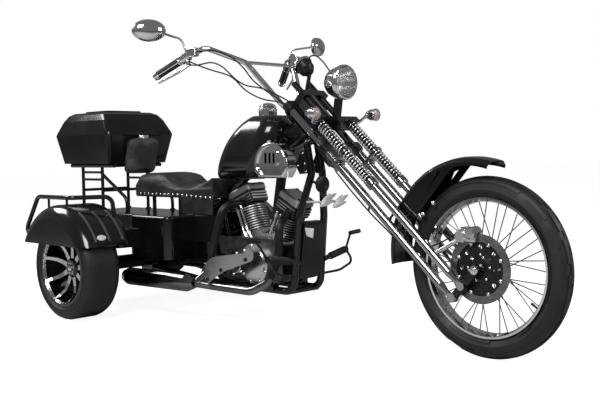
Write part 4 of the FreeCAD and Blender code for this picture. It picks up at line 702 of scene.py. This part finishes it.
def padded_copy(node, name, finish, voxel, cap, holds_below):
    """Turn a copy of a solid into a soft, crowned pad that takes its place."""
    pad = copied(nodes[node], Matrix.Identity(4))
    pick(pad)
    edit_all()
    bpy.ops.mesh.remove_doubles(threshold=0.00005)
    mode("OBJECT")
    puffed(pad, voxel, cap, holds_below)
    settle(pad, name, "chassis", finish, 70)
    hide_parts(node)


SADDLE_HALF, NOSE_NARROWS, NARROWS_FROM, NARROWS_OVER = 0.14, 0.022, 0.2, 0.335
STUD_FROM, STUD_PITCH, STUD_COUNT, STUD_Z = -0.034, 0.034, 17, 0.59
STUD_DROP, DROPS_AFTER = 0.0015, 9


def saddle_studs():
    """A row of studs along the lower edge of each side."""
    stud = dome_bolt(ORIGIN, ACROSS, 0.0055, 0.004)
    studs = []
    for side in SIDES:
        for i in range(STUD_COUNT):
            ahead = STUD_FROM + i * STUD_PITCH
            half = SADDLE_HALF - NOSE_NARROWS * max(0.0, ahead - NARROWS_FROM) / NARROWS_OVER
            place = at(ahead, side * (half + 0.0005), STUD_Z - STUD_DROP * max(0, i - DROPS_AFTER))
            turn = Matrix.Rotation(math.pi if side < 0 else 0, 4, "Z")
            studs.append(copied(stud, Matrix.Translation(place) @ turn))
    bpy.data.objects.remove(stud)
    chromed(join(studs), "saddle_studs", "chassis")


padded_copy("saddle", "saddle_padding", HIDE, voxel=0.0055, cap=0.007, holds_below=0.62)
saddle_studs()
padded_copy("backrest", "backrest_padding", REST_HIDE, voxel=0.0045, cap=0.006, holds_below=-1.0)


# -------------------- headlamp, signals, mirrors, gauge
SIGNAL_AHEAD, SIGNAL_SIDE, SIGNAL_Z = 1.276, 0.194, 0.955
CAP_RIBS, CAP_RIB_R, CAP_RIB_Z = 30, 0.042, 0.019
MIRROR_AHEAD, MIRROR_SIDE, MIRROR_Z, MIRROR_TURN = 0.612, 0.532, 1.34, 25
MIRROR_SHAPE = (1, 1, 0.092 / 0.142)  # as high as wide, before this
GAUGE_AT, GAUGE_AXIS = at(1.055, 0, 1.168), Vector((-0.75, 0, 0.66)).normalized()
GRIP_INNER, GRIP_OUTER, GRIP_STRIPS = (0.588, 0.34, 1.222), (0.478, 0.405, 1.152), 9


def headlamp():
    """Chrome shell, domed glass and bulb of the round headlamp."""
    low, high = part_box("headlamp")
    centre = Vector(((low.x + high.x) / 2, 0, (low.z + high.z) / 2))
    r = (high.z - low.z) / 2
    back, front = low.x - centre.x, high.x - centre.x
    shell = ((0, 0), (0.001, 0.016), (0.012, 0.038), (0.03, 0.055), (0.055, 0.066), (0.088, r - 0.003),
             (0.093, r), (0.104, r), (0.11, r - 0.004), (0.112, r - 0.009), (0.108, r - 0.0115),
             (0.085, r - 0.02), (0.05, 0.042), (0.04, 0.02), (0.036, 0))
    body = spun([(back + step, reach) for step, reach in shell], centre, AHEAD, 72)
    chromed(body, "headlamp_shell", "steering", 30)
    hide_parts("headlamp")
    glass = ((0.0165, r - 0.0125), (0.012, r - 0.013), (0.006, r * 0.72), (0.001, r * 0.4), (0, 0),
             (0.003, 0), (0.004, r * 0.4), (0.009, r * 0.7), (0.0145, r - 0.016))
    glass = spun([(front - step, reach) for step, reach in glass], centre, AHEAD, 72)
    settle(glass, "headlamp_glass", "steering", CLEAR, 50)
    bulb = ((0.036, 0), (0.036, 0.012), (0.07, 0.012), (0.082, 0.008), (0.086, 0))
    bulb = spun([(back + step, reach) for step, reach in bulb], centre, AHEAD, 24)
    settle(bulb, "headlamp_bulb", "steering", WHITE, 40)


def turn_signals():
    """Domed lens and chrome rim of each turn signal."""
    lens_line = [(0.0225, 0.0235), (0.029, 0.0205), (0.0345, 0.011), (0.036, 0), (0.018, 0), (0.018, 0.0235)]
    rim_line = [(0.017, 0.0235), (0.0165, 0.0272), (0.0215, 0.0278), (0.0245, 0.0262), (0.0245, 0.0235)]
    lenses, rims = [], []
    for side in SIDES:
        lamp = at(SIGNAL_AHEAD, side * SIGNAL_SIDE, SIGNAL_Z)
        lenses.append(spun(lens_line, lamp, AHEAD, 40))
        rims.append(spun(rim_line, lamp, AHEAD, 40))
    settle(join(lenses), "signal_lenses", "steering", BLUSH, 40)
    chromed(join(rims), "signal_rims", "steering")


def filler_ribs():
    """Grip ribs round the filler cap."""
    low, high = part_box("filler_cap")
    centre = Vector(((low.x + high.x) / 2, 0, low.z))
    ribs = []
    for i in range(CAP_RIBS):
        a = 2 * math.pi * i / CAP_RIBS
        place = centre + Vector((math.cos(a), math.sin(a), 0)) * CAP_RIB_R + Vector((0, 0, CAP_RIB_Z))
        clear()
        bpy.ops.mesh.primitive_cube_add(size=1.0, location=place, rotation=(0, 0, a),
                                        scale=(0.003, 0.0036, 0.028))
        ribs.append(apply(bpy.context.object, "BEVEL", width=0.0012, segments=2))
    chromed(join(ribs), "filler_cap_ribs", "chassis")


def mirrors():
    """Domed chrome back and silvered glass on each oval mirror."""
    back = [(-0.0008, 0.0706), (-0.004, 0.0712), (-0.0046, 0.0728), (-0.003, 0.0745), (0.004, 0.0752),
            (0.016, 0.073), (0.027, 0.062), (0.035, 0.045), (0.0395, 0.024), (0.0408, 0), (0.03, 0),
            (0.019, 0.06)]
    glass = [(-0.0026, 0), (-0.0026, 0.07), (-0.0002, 0.0704), (-0.0002, 0)]
    shells, panes = [], []
    for side in SIDES:
        place = Matrix.Translation(at(MIRROR_AHEAD, side * MIRROR_SIDE, MIRROR_Z))
        turn = place @ Matrix.Rotation(math.radians(MIRROR_TURN * side), 4, "Z")
        for section, group in ((back, shells), (glass, panes)):
            piece = stretched(spun(section, ORIGIN, AHEAD, 64), MIRROR_SHAPE)
            piece.matrix_world = turn @ piece.matrix_world
            group.append(piece)
    chromed(join(shells), "mirror_shells", "steering")
    settle(join(panes), "mirror_glass", "steering", GLASS, 40)


def gauge():
    """Chrome ring, blank dial, needle and glass of the round gauge."""
    def turned(section):
        return spun(section, GAUGE_AT, GAUGE_AXIS, 64, outward=ACROSS)

    ring = turned([(0.02, 0.0418), (0.02, 0.0446), (0.033, 0.0452), (0.0368, 0.0434), (0.0372, 0.0392),
                   (0.0346, 0.0374), (0.0343, 0.0418)])
    chromed(ring, "gauge_ring", "steering")
    dial = turned([(0.0298, 0), (0.0298, 0.0364), (0.0306, 0.0364), (0.0306, 0)])
    settle(dial, "gauge_dial", "steering", DIAL, 40)
    hand = block((0.009, 0, 0.0314), (0.034, 0.0018, 0.0008), 0.0003, 2)
    pin = spun([(0.03, 0), (0.03, 0.0034), (0.0326, 0.003), (0.0326, 0)], ORIGIN, UPRIGHT, 20,
               outward=AHEAD)
    hand = join([hand, pin])
    hand.matrix_world = Matrix.Translation(GAUGE_AT) @ facing(GAUGE_AXIS)
    settle(hand, "gauge_needle", "steering", RED, 40)
    glass = turned([(0.0338, 0), (0.0338, 0.0378), (0.0352, 0.0378), (0.0362, 0.024), (0.0366, 0)])
    settle(glass, "gauge_glass", "steering", CLEAR, 50)


def grips():
    """Chrome grips with lengthwise rubber strips and end collars."""
    sleeves, strips = [], []
    for side in SIDES:
        start, end = (at(x, side * y, z) for x, y, z in (GRIP_INNER, GRIP_OUTER))
        axis = (end - start).normalized()
        long = (end - start).length
        core = [(0.006, 0.0129), (0.006, 0.0192), (0.0075, 0.0204), (0.0125, 0.0204), (0.014, 0.019),
                (0.0145, 0.016), (long - 0.02, 0.016), (long - 0.0195, 0.019), (long - 0.018, 0.0206),
                (long - 0.008, 0.0206), (long - 0.0065, 0.0192), (long - 0.005, 0.0178),
                (long + 0.002, 0.0178), (long + 0.0045, 0.0155), (long + 0.005, 0.0129)]
        sleeves.append(spun(core, start, axis, 48))
        stand = Matrix.Translation(start) @ facing(axis)
        for i in range(GRIP_STRIPS):
            strip = block((0.0168, 0, long / 2 - 0.003), (0.0034, 0.0074, long - 0.036), 0.0012, 3)
            strip.matrix_world = stand @ Matrix.Rotation(2 * math.pi * i / GRIP_STRIPS, 4, "Z")
            strips.append(strip)
    core = chromed(join(sleeves), "grip_sleeves", "steering")
    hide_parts("handlebar_grips")
    settle(join(strips), "grip_strips", "steering", GRIP, 40)


headlamp()
turn_signals()
filler_ribs()
mirrors()
gauge()
grips()


# -------------------- bolts, reflectors and small trim
def dome(radius, height):
    """Round-headed socket bolt at the origin, pointing up."""
    return dome_bolt(ORIGIN, UPRIGHT, radius, height)


def hex_nut(radius, height):
    """Chamfered nut on a washer at the origin, pointing up."""
    clear()
    bpy.ops.mesh.primitive_cylinder_add(vertices=6, radius=radius, depth=height, location=(0, 0, height / 2))
    nut = bpy.context.object
    mode("EDIT")
    bpy.ops.mesh.select_all(action="DESELECT")
    mode("OBJECT")
    for face in nut.data.polygons:
        face.select = face.normal.z > 0.9
    mode("EDIT")
    bpy.ops.mesh.select_mode(type="FACE")
    bpy.ops.mesh.inset(thickness=radius * 0.42)
    bpy.ops.mesh.extrude_region_move(TRANSFORM_OT_translate={"value": (0, 0, height * 0.35)})
    bpy.ops.mesh.select_mode(type="VERT")
    mode("OBJECT")
    apply(nut, "BEVEL", width=radius * 0.1, segments=2)
    washer = spun([(-height * 0.4, 0), (-height * 0.4, radius * 1.45), (height * 0.14, radius * 1.45),
                   (height * 0.2, radius * 1.35), (height * 0.2, 0)], ORIGIN, UPRIGHT, 24, outward=AHEAD)
    return join([nut, washer])


def scattered(piece, places, name, body, finish=CHROME):
    """Copies of a small piece, each turned so that its own Z points along a direction."""
    copies = [copied(piece, Matrix.Translation(place) @ facing(direction)) for place, direction in places]
    bpy.data.objects.remove(piece)
    return settle(join(copies), name, body, finish, 40)


def around(centre, radius, count, first, y):
    """Places on a circle about a wheel's axle, at a distance across."""
    places = []
    for i in range(count):
        a = math.radians(first + 360.0 * i / count)
        places.append(Vector((centre.x + radius * math.cos(a), y, centre.z + radius * math.sin(a))))
    return places


RIGHTWARD = (0, -1, 0)
DISC_Y, CARRIER_Y = -0.0605, -0.0592
HUB_FACE = 0.036  # out from the middle of a rear wheel
RIM_INNER_R, STEM_ANGLE = 0.254, -33
REFLECTOR_OUT, REFLECTOR_SIDE = (0.226, 0, 0.149), 0.56
FENDER_BOLT_SIDE, FENDER_BOLTS = 0.064, ((1.7934, 0.5893), (1.7446, 0.5447), (1.699, 0.47))
SHIELD_BOLTS = ((0.64, 0.212), (0.735, 0.262), (0.905, 0.322))


def disc_fasteners():
    """Bolts, blind holes darkened with black rubber as painted shade, and carrier bolts on the outer side of
    the front brake disc.
    """
    def ring(radius, count, first, y):
        return [(p, RIGHTWARD) for p in around(FRONT_AXLE, radius, count, first, y)]

    scattered(dome(0.0065, 0.004), ring(0.099, 8, 22, DISC_Y), "disc_bolts", "front_wheel")
    hole_shade = spun([(-0.002, 0), (-0.002, 0.004), (0.0003, 0.004), (0.0003, 0.0032), (-0.0007, 0.0024),
                 (-0.0007, 0)], ORIGIN, UPRIGHT, 16, outward=AHEAD)
    drilled = ring(0.1115, 20, 0, DISC_Y) + ring(0.1235, 20, 9, DISC_Y)
    # the holes are black rubber plugs, a painted shade standing in for their dark insides
    scattered(hole_shade, drilled, "disc_hole_shades", "front_wheel", GRIP)
    scattered(dome(0.0055, 0.004), ring(0.046, 6, 10, CARRIER_Y), "carrier_bolts", "front_wheel")


def rear_hub(side, out):
    """Wheel nuts and the cap of a rear hub."""
    centre = REAR_AXLE[side]
    face = centre.y + out * HUB_FACE
    nuts = [(p, (0, out, 0)) for p in around(centre, 0.026, 5, 90, face)]
    scattered(hex_nut(0.0062, 0.008), nuts, "wheel_nuts_" + side, "rear_wheel_" + side)
    cap = [(-0.003, 0), (-0.003, 0.0155), (0.007, 0.0155), (0.011, 0.012), (0.013, 0.006), (0.0135, 0)]
    cap = spun(cap, (centre.x, face, centre.z), (0, out, 0), 40)
    chromed(cap, "hub_cap_" + side, "rear_wheel_" + side)


def axle_nuts():
    """A nut on each end of the front axle."""
    low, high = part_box("fork_rockers")
    ends = [(Vector((FRONT_AXLE.x, y, FRONT_AXLE.z)), (0, out, 0)) for y, out in ((low.y, -1), (high.y, 1))]
    scattered(hex_nut(0.012, 0.009), ends, "axle_nuts", "steering")


def valve_stem():
    """Valve on the inside of the front rim."""
    section = [(0, 0), (0, 0.005), (0.01, 0.0045), (0.02, 0.004), (0.022, 0.005), (0.036, 0.005),
               (0.038, 0.004), (0.038, 0)]
    a = math.radians(STEM_ANGLE)
    inward = Vector((-math.cos(a), 0, -math.sin(a)))
    stem = spun(section, FRONT_AXLE - inward * RIM_INNER_R, inward, 20, outward=ACROSS)
    settle(stem, "valve_stem", "front_wheel", GRIP, 40)


def fender_reflectors():
    """An oval blank reflector on the front of each rear fender."""
    out = Vector(REFLECTOR_OUT).normalized()
    turn = Matrix((Vector(ACROSS).cross(out), ACROSS, out)).transposed().to_4x4()
    ovals = []
    for side in SIDES:
        piece = oval(40, 0.02, 0.01, (0.74, 1.2, 1), 0.003)
        place = FENDER_C + out * (FENDER_OUT + 0.0005) + Vector((0, side * REFLECTOR_SIDE, 0))
        piece.matrix_world = Matrix.Translation(place) @ turn
        ovals.append(piece)
    settle(join(ovals), "fender_reflectors", "chassis", WHITE, 40)


def front_fender_studs():
    """Bolts that hold the front fender's brackets."""
    places = [(at(ahead, side * FENDER_BOLT_SIDE, z), (0, side, 0)) for side in SIDES
              for ahead, z in FENDER_BOLTS]
    scattered(dome(0.0085, 0.006), places, "front_fender_studs", "steering")


def heat_shield_bolts():
    """Three dark bolts on the heat shield."""
    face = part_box("heat_shield")[0].y
    places = [(at(ahead, face, z), RIGHTWARD) for ahead, z in SHIELD_BOLTS]
    scattered(dome(0.0095, 0.006), places, "heat_shield_bolts", "chassis", SATIN)


# round covers of the crankcase: ahead, height, radius, how far they stand out, bolts
CASE_COVERS = ((0.83, 0.285, 0.092, 0.02, 9), (0.7, 0.275, 0.058, 0.018, 6))
CASE_BOLT_IN, CASE_BOLT_TURN = 0.0075, 0.3
HEAD_BOLT_IN, HEAD_BOLT_Y = 0.018, 0.038
ROD_UP, ROD_STEP, ROD_Y = 0.112, 0.014, 0.079
PLUG_UP, PLUG_ACROSS = 0.318, 0.036


def case_bolts():
    """Bolts round the crankcase's covers."""
    places = []
    for side in SIDES:
        for ahead, z, radius, step, count in CASE_COVERS:
            centre = at(ahead, side * (CASE_Y + step), z)
            for i in range(count):
                a = 2 * math.pi * i / count + CASE_BOLT_TURN
                out = Vector((math.cos(a), 0, math.sin(a)))
                places.append((centre + out * (radius - CASE_BOLT_IN), (0, side, 0)))
    scattered(dome(0.0062, 0.005), places, "case_bolts", "chassis")


def head_trim():
    """Bolts on the rocker covers, push-rod tubes and plug caps."""
    rod = [(0, 0), (0, 0.009), (0.022, 0.009), (0.026, 0.0062), (0.15, 0.0062), (0.154, 0.0085),
           (0.18, 0.0085), (0.184, 0.006), (0.184, 0)]
    cap = [(-0.004, 0), (-0.004, 0.0115), (0.003, 0.012), (0.005, 0.0095), (0.02, 0.0088), (0.022, 0.0068),
           (0.036, 0.0055), (0.037, 0)]
    bolts, rods, caps = [], [], []
    for row in CYLINDERS:
        foot, up, across = barrel_frame(row)
        for u in SIDES:
            for v in SIDES:
                corner = across * (u * (row[3] - HEAD_BOLT_IN)) + Vector((0, v * HEAD_BOLT_Y, 0))
                bolts.append((foot + up * COVER_TOP + corner, up))
        for step in (-ROD_STEP, ROD_STEP):
            low = foot + up * ROD_UP + across * step + Vector((0, -ROD_Y, 0))
            rods.append(spun(rod, low, up, 20, outward=RIGHTWARD))
        plug = foot + up * PLUG_UP + across * PLUG_ACROSS + Vector((0, -HEAD_HALF_Y, 0))
        caps.append(spun(cap, plug, RIGHTWARD, 20))
    scattered(dome(0.006, 0.005), bolts, "head_bolts", "chassis", SATIN)
    chromed(join(rods), "push_rod_tubes", "chassis")
    settle(join(caps), "plug_caps", "chassis", GRIP, 40)


LATCH_Z, LOCK_Z = 0.888, 0.882
LID_BUTTON_AT = (-0.576, 0.2, 0.944)


def box_latch():
    """Latch with its lock on the front of the box."""
    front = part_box("tail_box")[1].x
    latch = block((front - 0.001, 0, LATCH_Z), (0.01, 0.064, 0.026), 0.0035, 3)
    lock = [(0, 0), (0, 0.0085), (0.005, 0.0085), (0.0065, 0.007), (0.0065, 0.0032), (0.0045, 0.0028),
            (0.0045, 0)]
    lock = spun(lock, (front + 0.002, 0, LOCK_Z), AHEAD, 32)
    settle(join([latch, lock]), "box_latch", "chassis", POLISHED, 35)


def lid_buttons():
    """A blank oval button on each side of the lid."""
    x, y, z = LID_BUTTON_AT
    buttons = []
    for side in SIDES:
        _, spot, out, _ = nodes["tail_box_lid"].closest_point_on_mesh(at(x, side * y, z))
        button = oval(48, 0.013, 0.006, (2.2, 1, 1), 0.0022)
        turn = Matrix((AHEAD, out.cross(AHEAD), out)).transposed().to_4x4()
        button.matrix_world = Matrix.Translation(spot + out * 0.0008) @ turn
        buttons.append(button)
    settle(join(buttons), "lid_buttons", "box_lid", SILVER, 35)


def plate_piece(points, thick, bevel):
    """A flat plate, drawn as its outline and pulled out along a direction."""
    plate = outline(points)
    edit_all()
    bpy.ops.mesh.edge_face_add()
    bpy.ops.mesh.extrude_region_move(TRANSFORM_OT_translate={"value": thick})
    face_out()
    mode("OBJECT")
    return apply(plate, "BEVEL", width=bevel, segments=2, limit_method="ANGLE")


GUSSET_Y, GUSSET_THICK = 0.051, 0.0035
LEAF = (  # along and across, in shares of the length
    (0, 0), (0.1, 0.07), (0.32, 0.135), (0.6, 0.13), (0.85, 0.07), (1, 0), (0.84, -0.05), (0.55, -0.085),
    (0.28, -0.08), (0.08, -0.04))
LEAF_ROOTS, LEAF_THICK = ((-0.084, 0.558), (-0.005, 0.548)), 0.0026
FEATHERS = ((39, 0.088), (27, 0.118), (14, 0.096))  # lift in degrees, length
LEAF_AHEAD, FEATHER_STEP, STAY_Z = 1.206, 0.0014, 0.574


def neck_plates():
    """Bolted gusset plates between the backbone and the downtubes, and their bolts."""
    corners = ((1.03, 0.735), (1.064, 0.8), (1.088, 0.806), (1.104, 0.742), (1.11, 0.7), (1.056, 0.696))
    holes = ((1.08, 0.79), (1.092, 0.744), (1.098, 0.708), (1.048, 0.735))
    plates, bolts = [], []
    for side in SIDES:
        edge = [at(ahead, side * GUSSET_Y, z) for ahead, z in corners]
        plates.append(plate_piece(edge, Vector((0, side * GUSSET_THICK, 0)), 0.001))
        face = side * (GUSSET_Y + GUSSET_THICK)
        bolts += [(at(ahead, face, z), (0, side, 0)) for ahead, z in holes]
    settle(join(plates), "neck_gussets", "chassis", SATIN, 35)
    scattered(dome(0.0055, 0.0045), bolts, "gusset_bolts", "chassis")


def bar(start, end, radius):
    """A round bar with softened ends between two points."""
    axis = end - start
    section = [(0, 0), (0, radius * 0.8), (radius * 0.2, radius), (axis.length - radius * 0.2, radius),
               (axis.length, radius * 0.8), (axis.length, 0)]
    return spun(section, start, axis, 16, outward=(0.1, 0.2, 0.9))


def wings():
    """Two feathered leaves below the horn, on a crossbar and two stays."""
    parts = []
    for y, z in LEAF_ROOTS:
        for i, (lift, long) in enumerate(FEATHERS):
            turn = Matrix.Rotation(math.radians(lift), 3, "X")
            root = at(LEAF_AHEAD + FEATHER_STEP * i, y, z)
            points = [root + turn @ Vector((0, u, v)) * long for u, v in LEAF]
            parts.append(plate_piece(points, Vector((LEAF_THICK, 0, 0)), 0.0007))
    for side in SIDES:
        parts.append(bar(at(1.209, side * 0.04, STAY_Z), at(1.086, side * 0.064, STAY_Z), 0.005))
    parts.append(bar(at(1.2025, -0.058, STAY_Z), at(1.2025, 0.058, STAY_Z), 0.0042))
    piece = settle(join(parts), "wing_leaves", "chassis", SILVER, 35)
    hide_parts("wing_trim")


def cover_mark():
    """Pale blank reflector on the right of the front cover."""
    side_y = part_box("front_cover")[0].y + 0.001
    corners = ((1.099, 0.46), (1.153, 0.459), (1.146, 0.416), (1.108, 0.424))
    mark = plate_piece([at(ahead, side_y, z) for ahead, z in corners], Vector((0, -0.005, 0)), 0.0012)
    settle(mark, "cover_reflector", "chassis", WHITE, 35)


neck_plates()
wings()
cover_mark()
disc_fasteners()
rear_hub("right", -1)
rear_hub("left", 1)
axle_nuts()
valve_stem()
fender_reflectors()
front_fender_studs()
heat_shield_bolts()
case_bolts()
head_trim()
box_latch()
lid_buttons()


# -------------------- floor, light and camera
FLOOR_GREY, FLOOR_GLOW = 0.52, 0.9  # the glow is for the camera alone
WORLD_SOFT, WORLD_SHOWN = 0.17, 1.0
LAMPS = (  # name, place, size, power; each aims at AIM
    ("key", (1.6, -3.4, 3.8), 1.8, 150), ("fill", (4.2, 1.6, 2.4), 1.6, 60),
    ("back", (-3.4, -1.2, 3.2), 1.6, 90))
AIM = Vector((0, 0, 0.5))
EYE, YAW, PITCH, ROLL = Vector((3.072, -2.886, 0.805)), 44.48, 2.715, -1.03
LENS_MM, SENSOR_MM, SHIFT = 53.66, 36.0, (-0.00817, -0.01317)


def camera_ray(tree):
    """One where the camera looks, zero for all other light."""
    return tree.nodes.new("ShaderNodeLightPath").outputs["Is Camera Ray"]


def floor():
    """Wide pale floor."""
    m = bpy.data.materials.new("pale_floor")
    m.use_nodes = True
    tree = m.node_tree
    shader = tree.nodes["Principled BSDF"]
    shader.inputs["Base Color"].default_value = (FLOOR_GREY, FLOOR_GREY, FLOOR_GREY, 1)
    shader.inputs["Roughness"].default_value = 0.9
    shader.inputs["Specular IOR Level"].default_value = 0.0
    glow = tree.nodes.new("ShaderNodeMath")
    glow.operation = "MULTIPLY"
    glow.inputs[1].default_value = FLOOR_GLOW
    tree.links.new(camera_ray(tree), glow.inputs[0])
    shader.inputs["Emission Color"].default_value = (1, 1, 1, 1)
    tree.links.new(glow.outputs[0], shader.inputs["Emission Strength"])
    clear()
    bpy.ops.mesh.primitive_plane_add(size=60, location=ORIGIN)
    plane = bpy.context.object
    plane.name = "studio_floor"
    plane.data.materials.append(m)


def world():
    """White surroundings that light the object softly."""
    studio = bpy.data.worlds.new("studio")
    bpy.context.scene.world = studio
    studio.use_nodes = True
    tree = studio.node_tree
    tree.nodes.clear()
    out = tree.nodes.new("ShaderNodeOutputWorld")
    mix = tree.nodes.new("ShaderNodeMixShader")
    tree.links.new(camera_ray(tree), mix.inputs[0])
    for place, strength in ((1, WORLD_SOFT), (2, WORLD_SHOWN)):
        sky = tree.nodes.new("ShaderNodeBackground")
        sky.inputs[0].default_value = (1, 1, 1, 1)
        sky.inputs[1].default_value = strength
        tree.links.new(sky.outputs[0], mix.inputs[place])
    tree.links.new(mix.outputs[0], out.inputs[0])


def lamps():
    """Three square area lamps."""
    for name, place, size, power in LAMPS:
        lamp = bpy.data.lights.new(name, "AREA")
        lamp.energy = power
        lamp.size = size
        obj = linked(bpy.data.objects.new(name, lamp))
        turn = (AIM - Vector(place)).to_track_quat("-Z", "Y").to_matrix().to_4x4()
        obj.matrix_world = Matrix.Translation(place) @ turn


def camera():
    """Camera ahead of the object on its right, level but for a small pitch and roll."""
    yaw, pitch, roll = math.radians(YAW), math.radians(PITCH), math.radians(ROLL)
    ahead = Vector((-math.sin(yaw) * math.cos(pitch), math.cos(yaw) * math.cos(pitch), -math.sin(pitch)))
    right = Vector((math.cos(yaw), math.sin(yaw), 0))
    up = right.cross(ahead)
    right, up = right * math.cos(roll) + up * math.sin(roll), up * math.cos(roll) - right * math.sin(roll)
    data = bpy.data.cameras.new("view")
    data.sensor_width = SENSOR_MM
    data.lens = LENS_MM
    data.shift_x, data.shift_y = SHIFT
    obj = linked(bpy.data.objects.new("view", data))
    obj.matrix_world = Matrix.Translation(EYE) @ Matrix((right, up, -ahead)).transposed().to_4x4()
    bpy.context.scene.camera = obj


floor()
world()
lamps()
camera()
bpy.context.scene.view_settings.view_transform = "Standard"
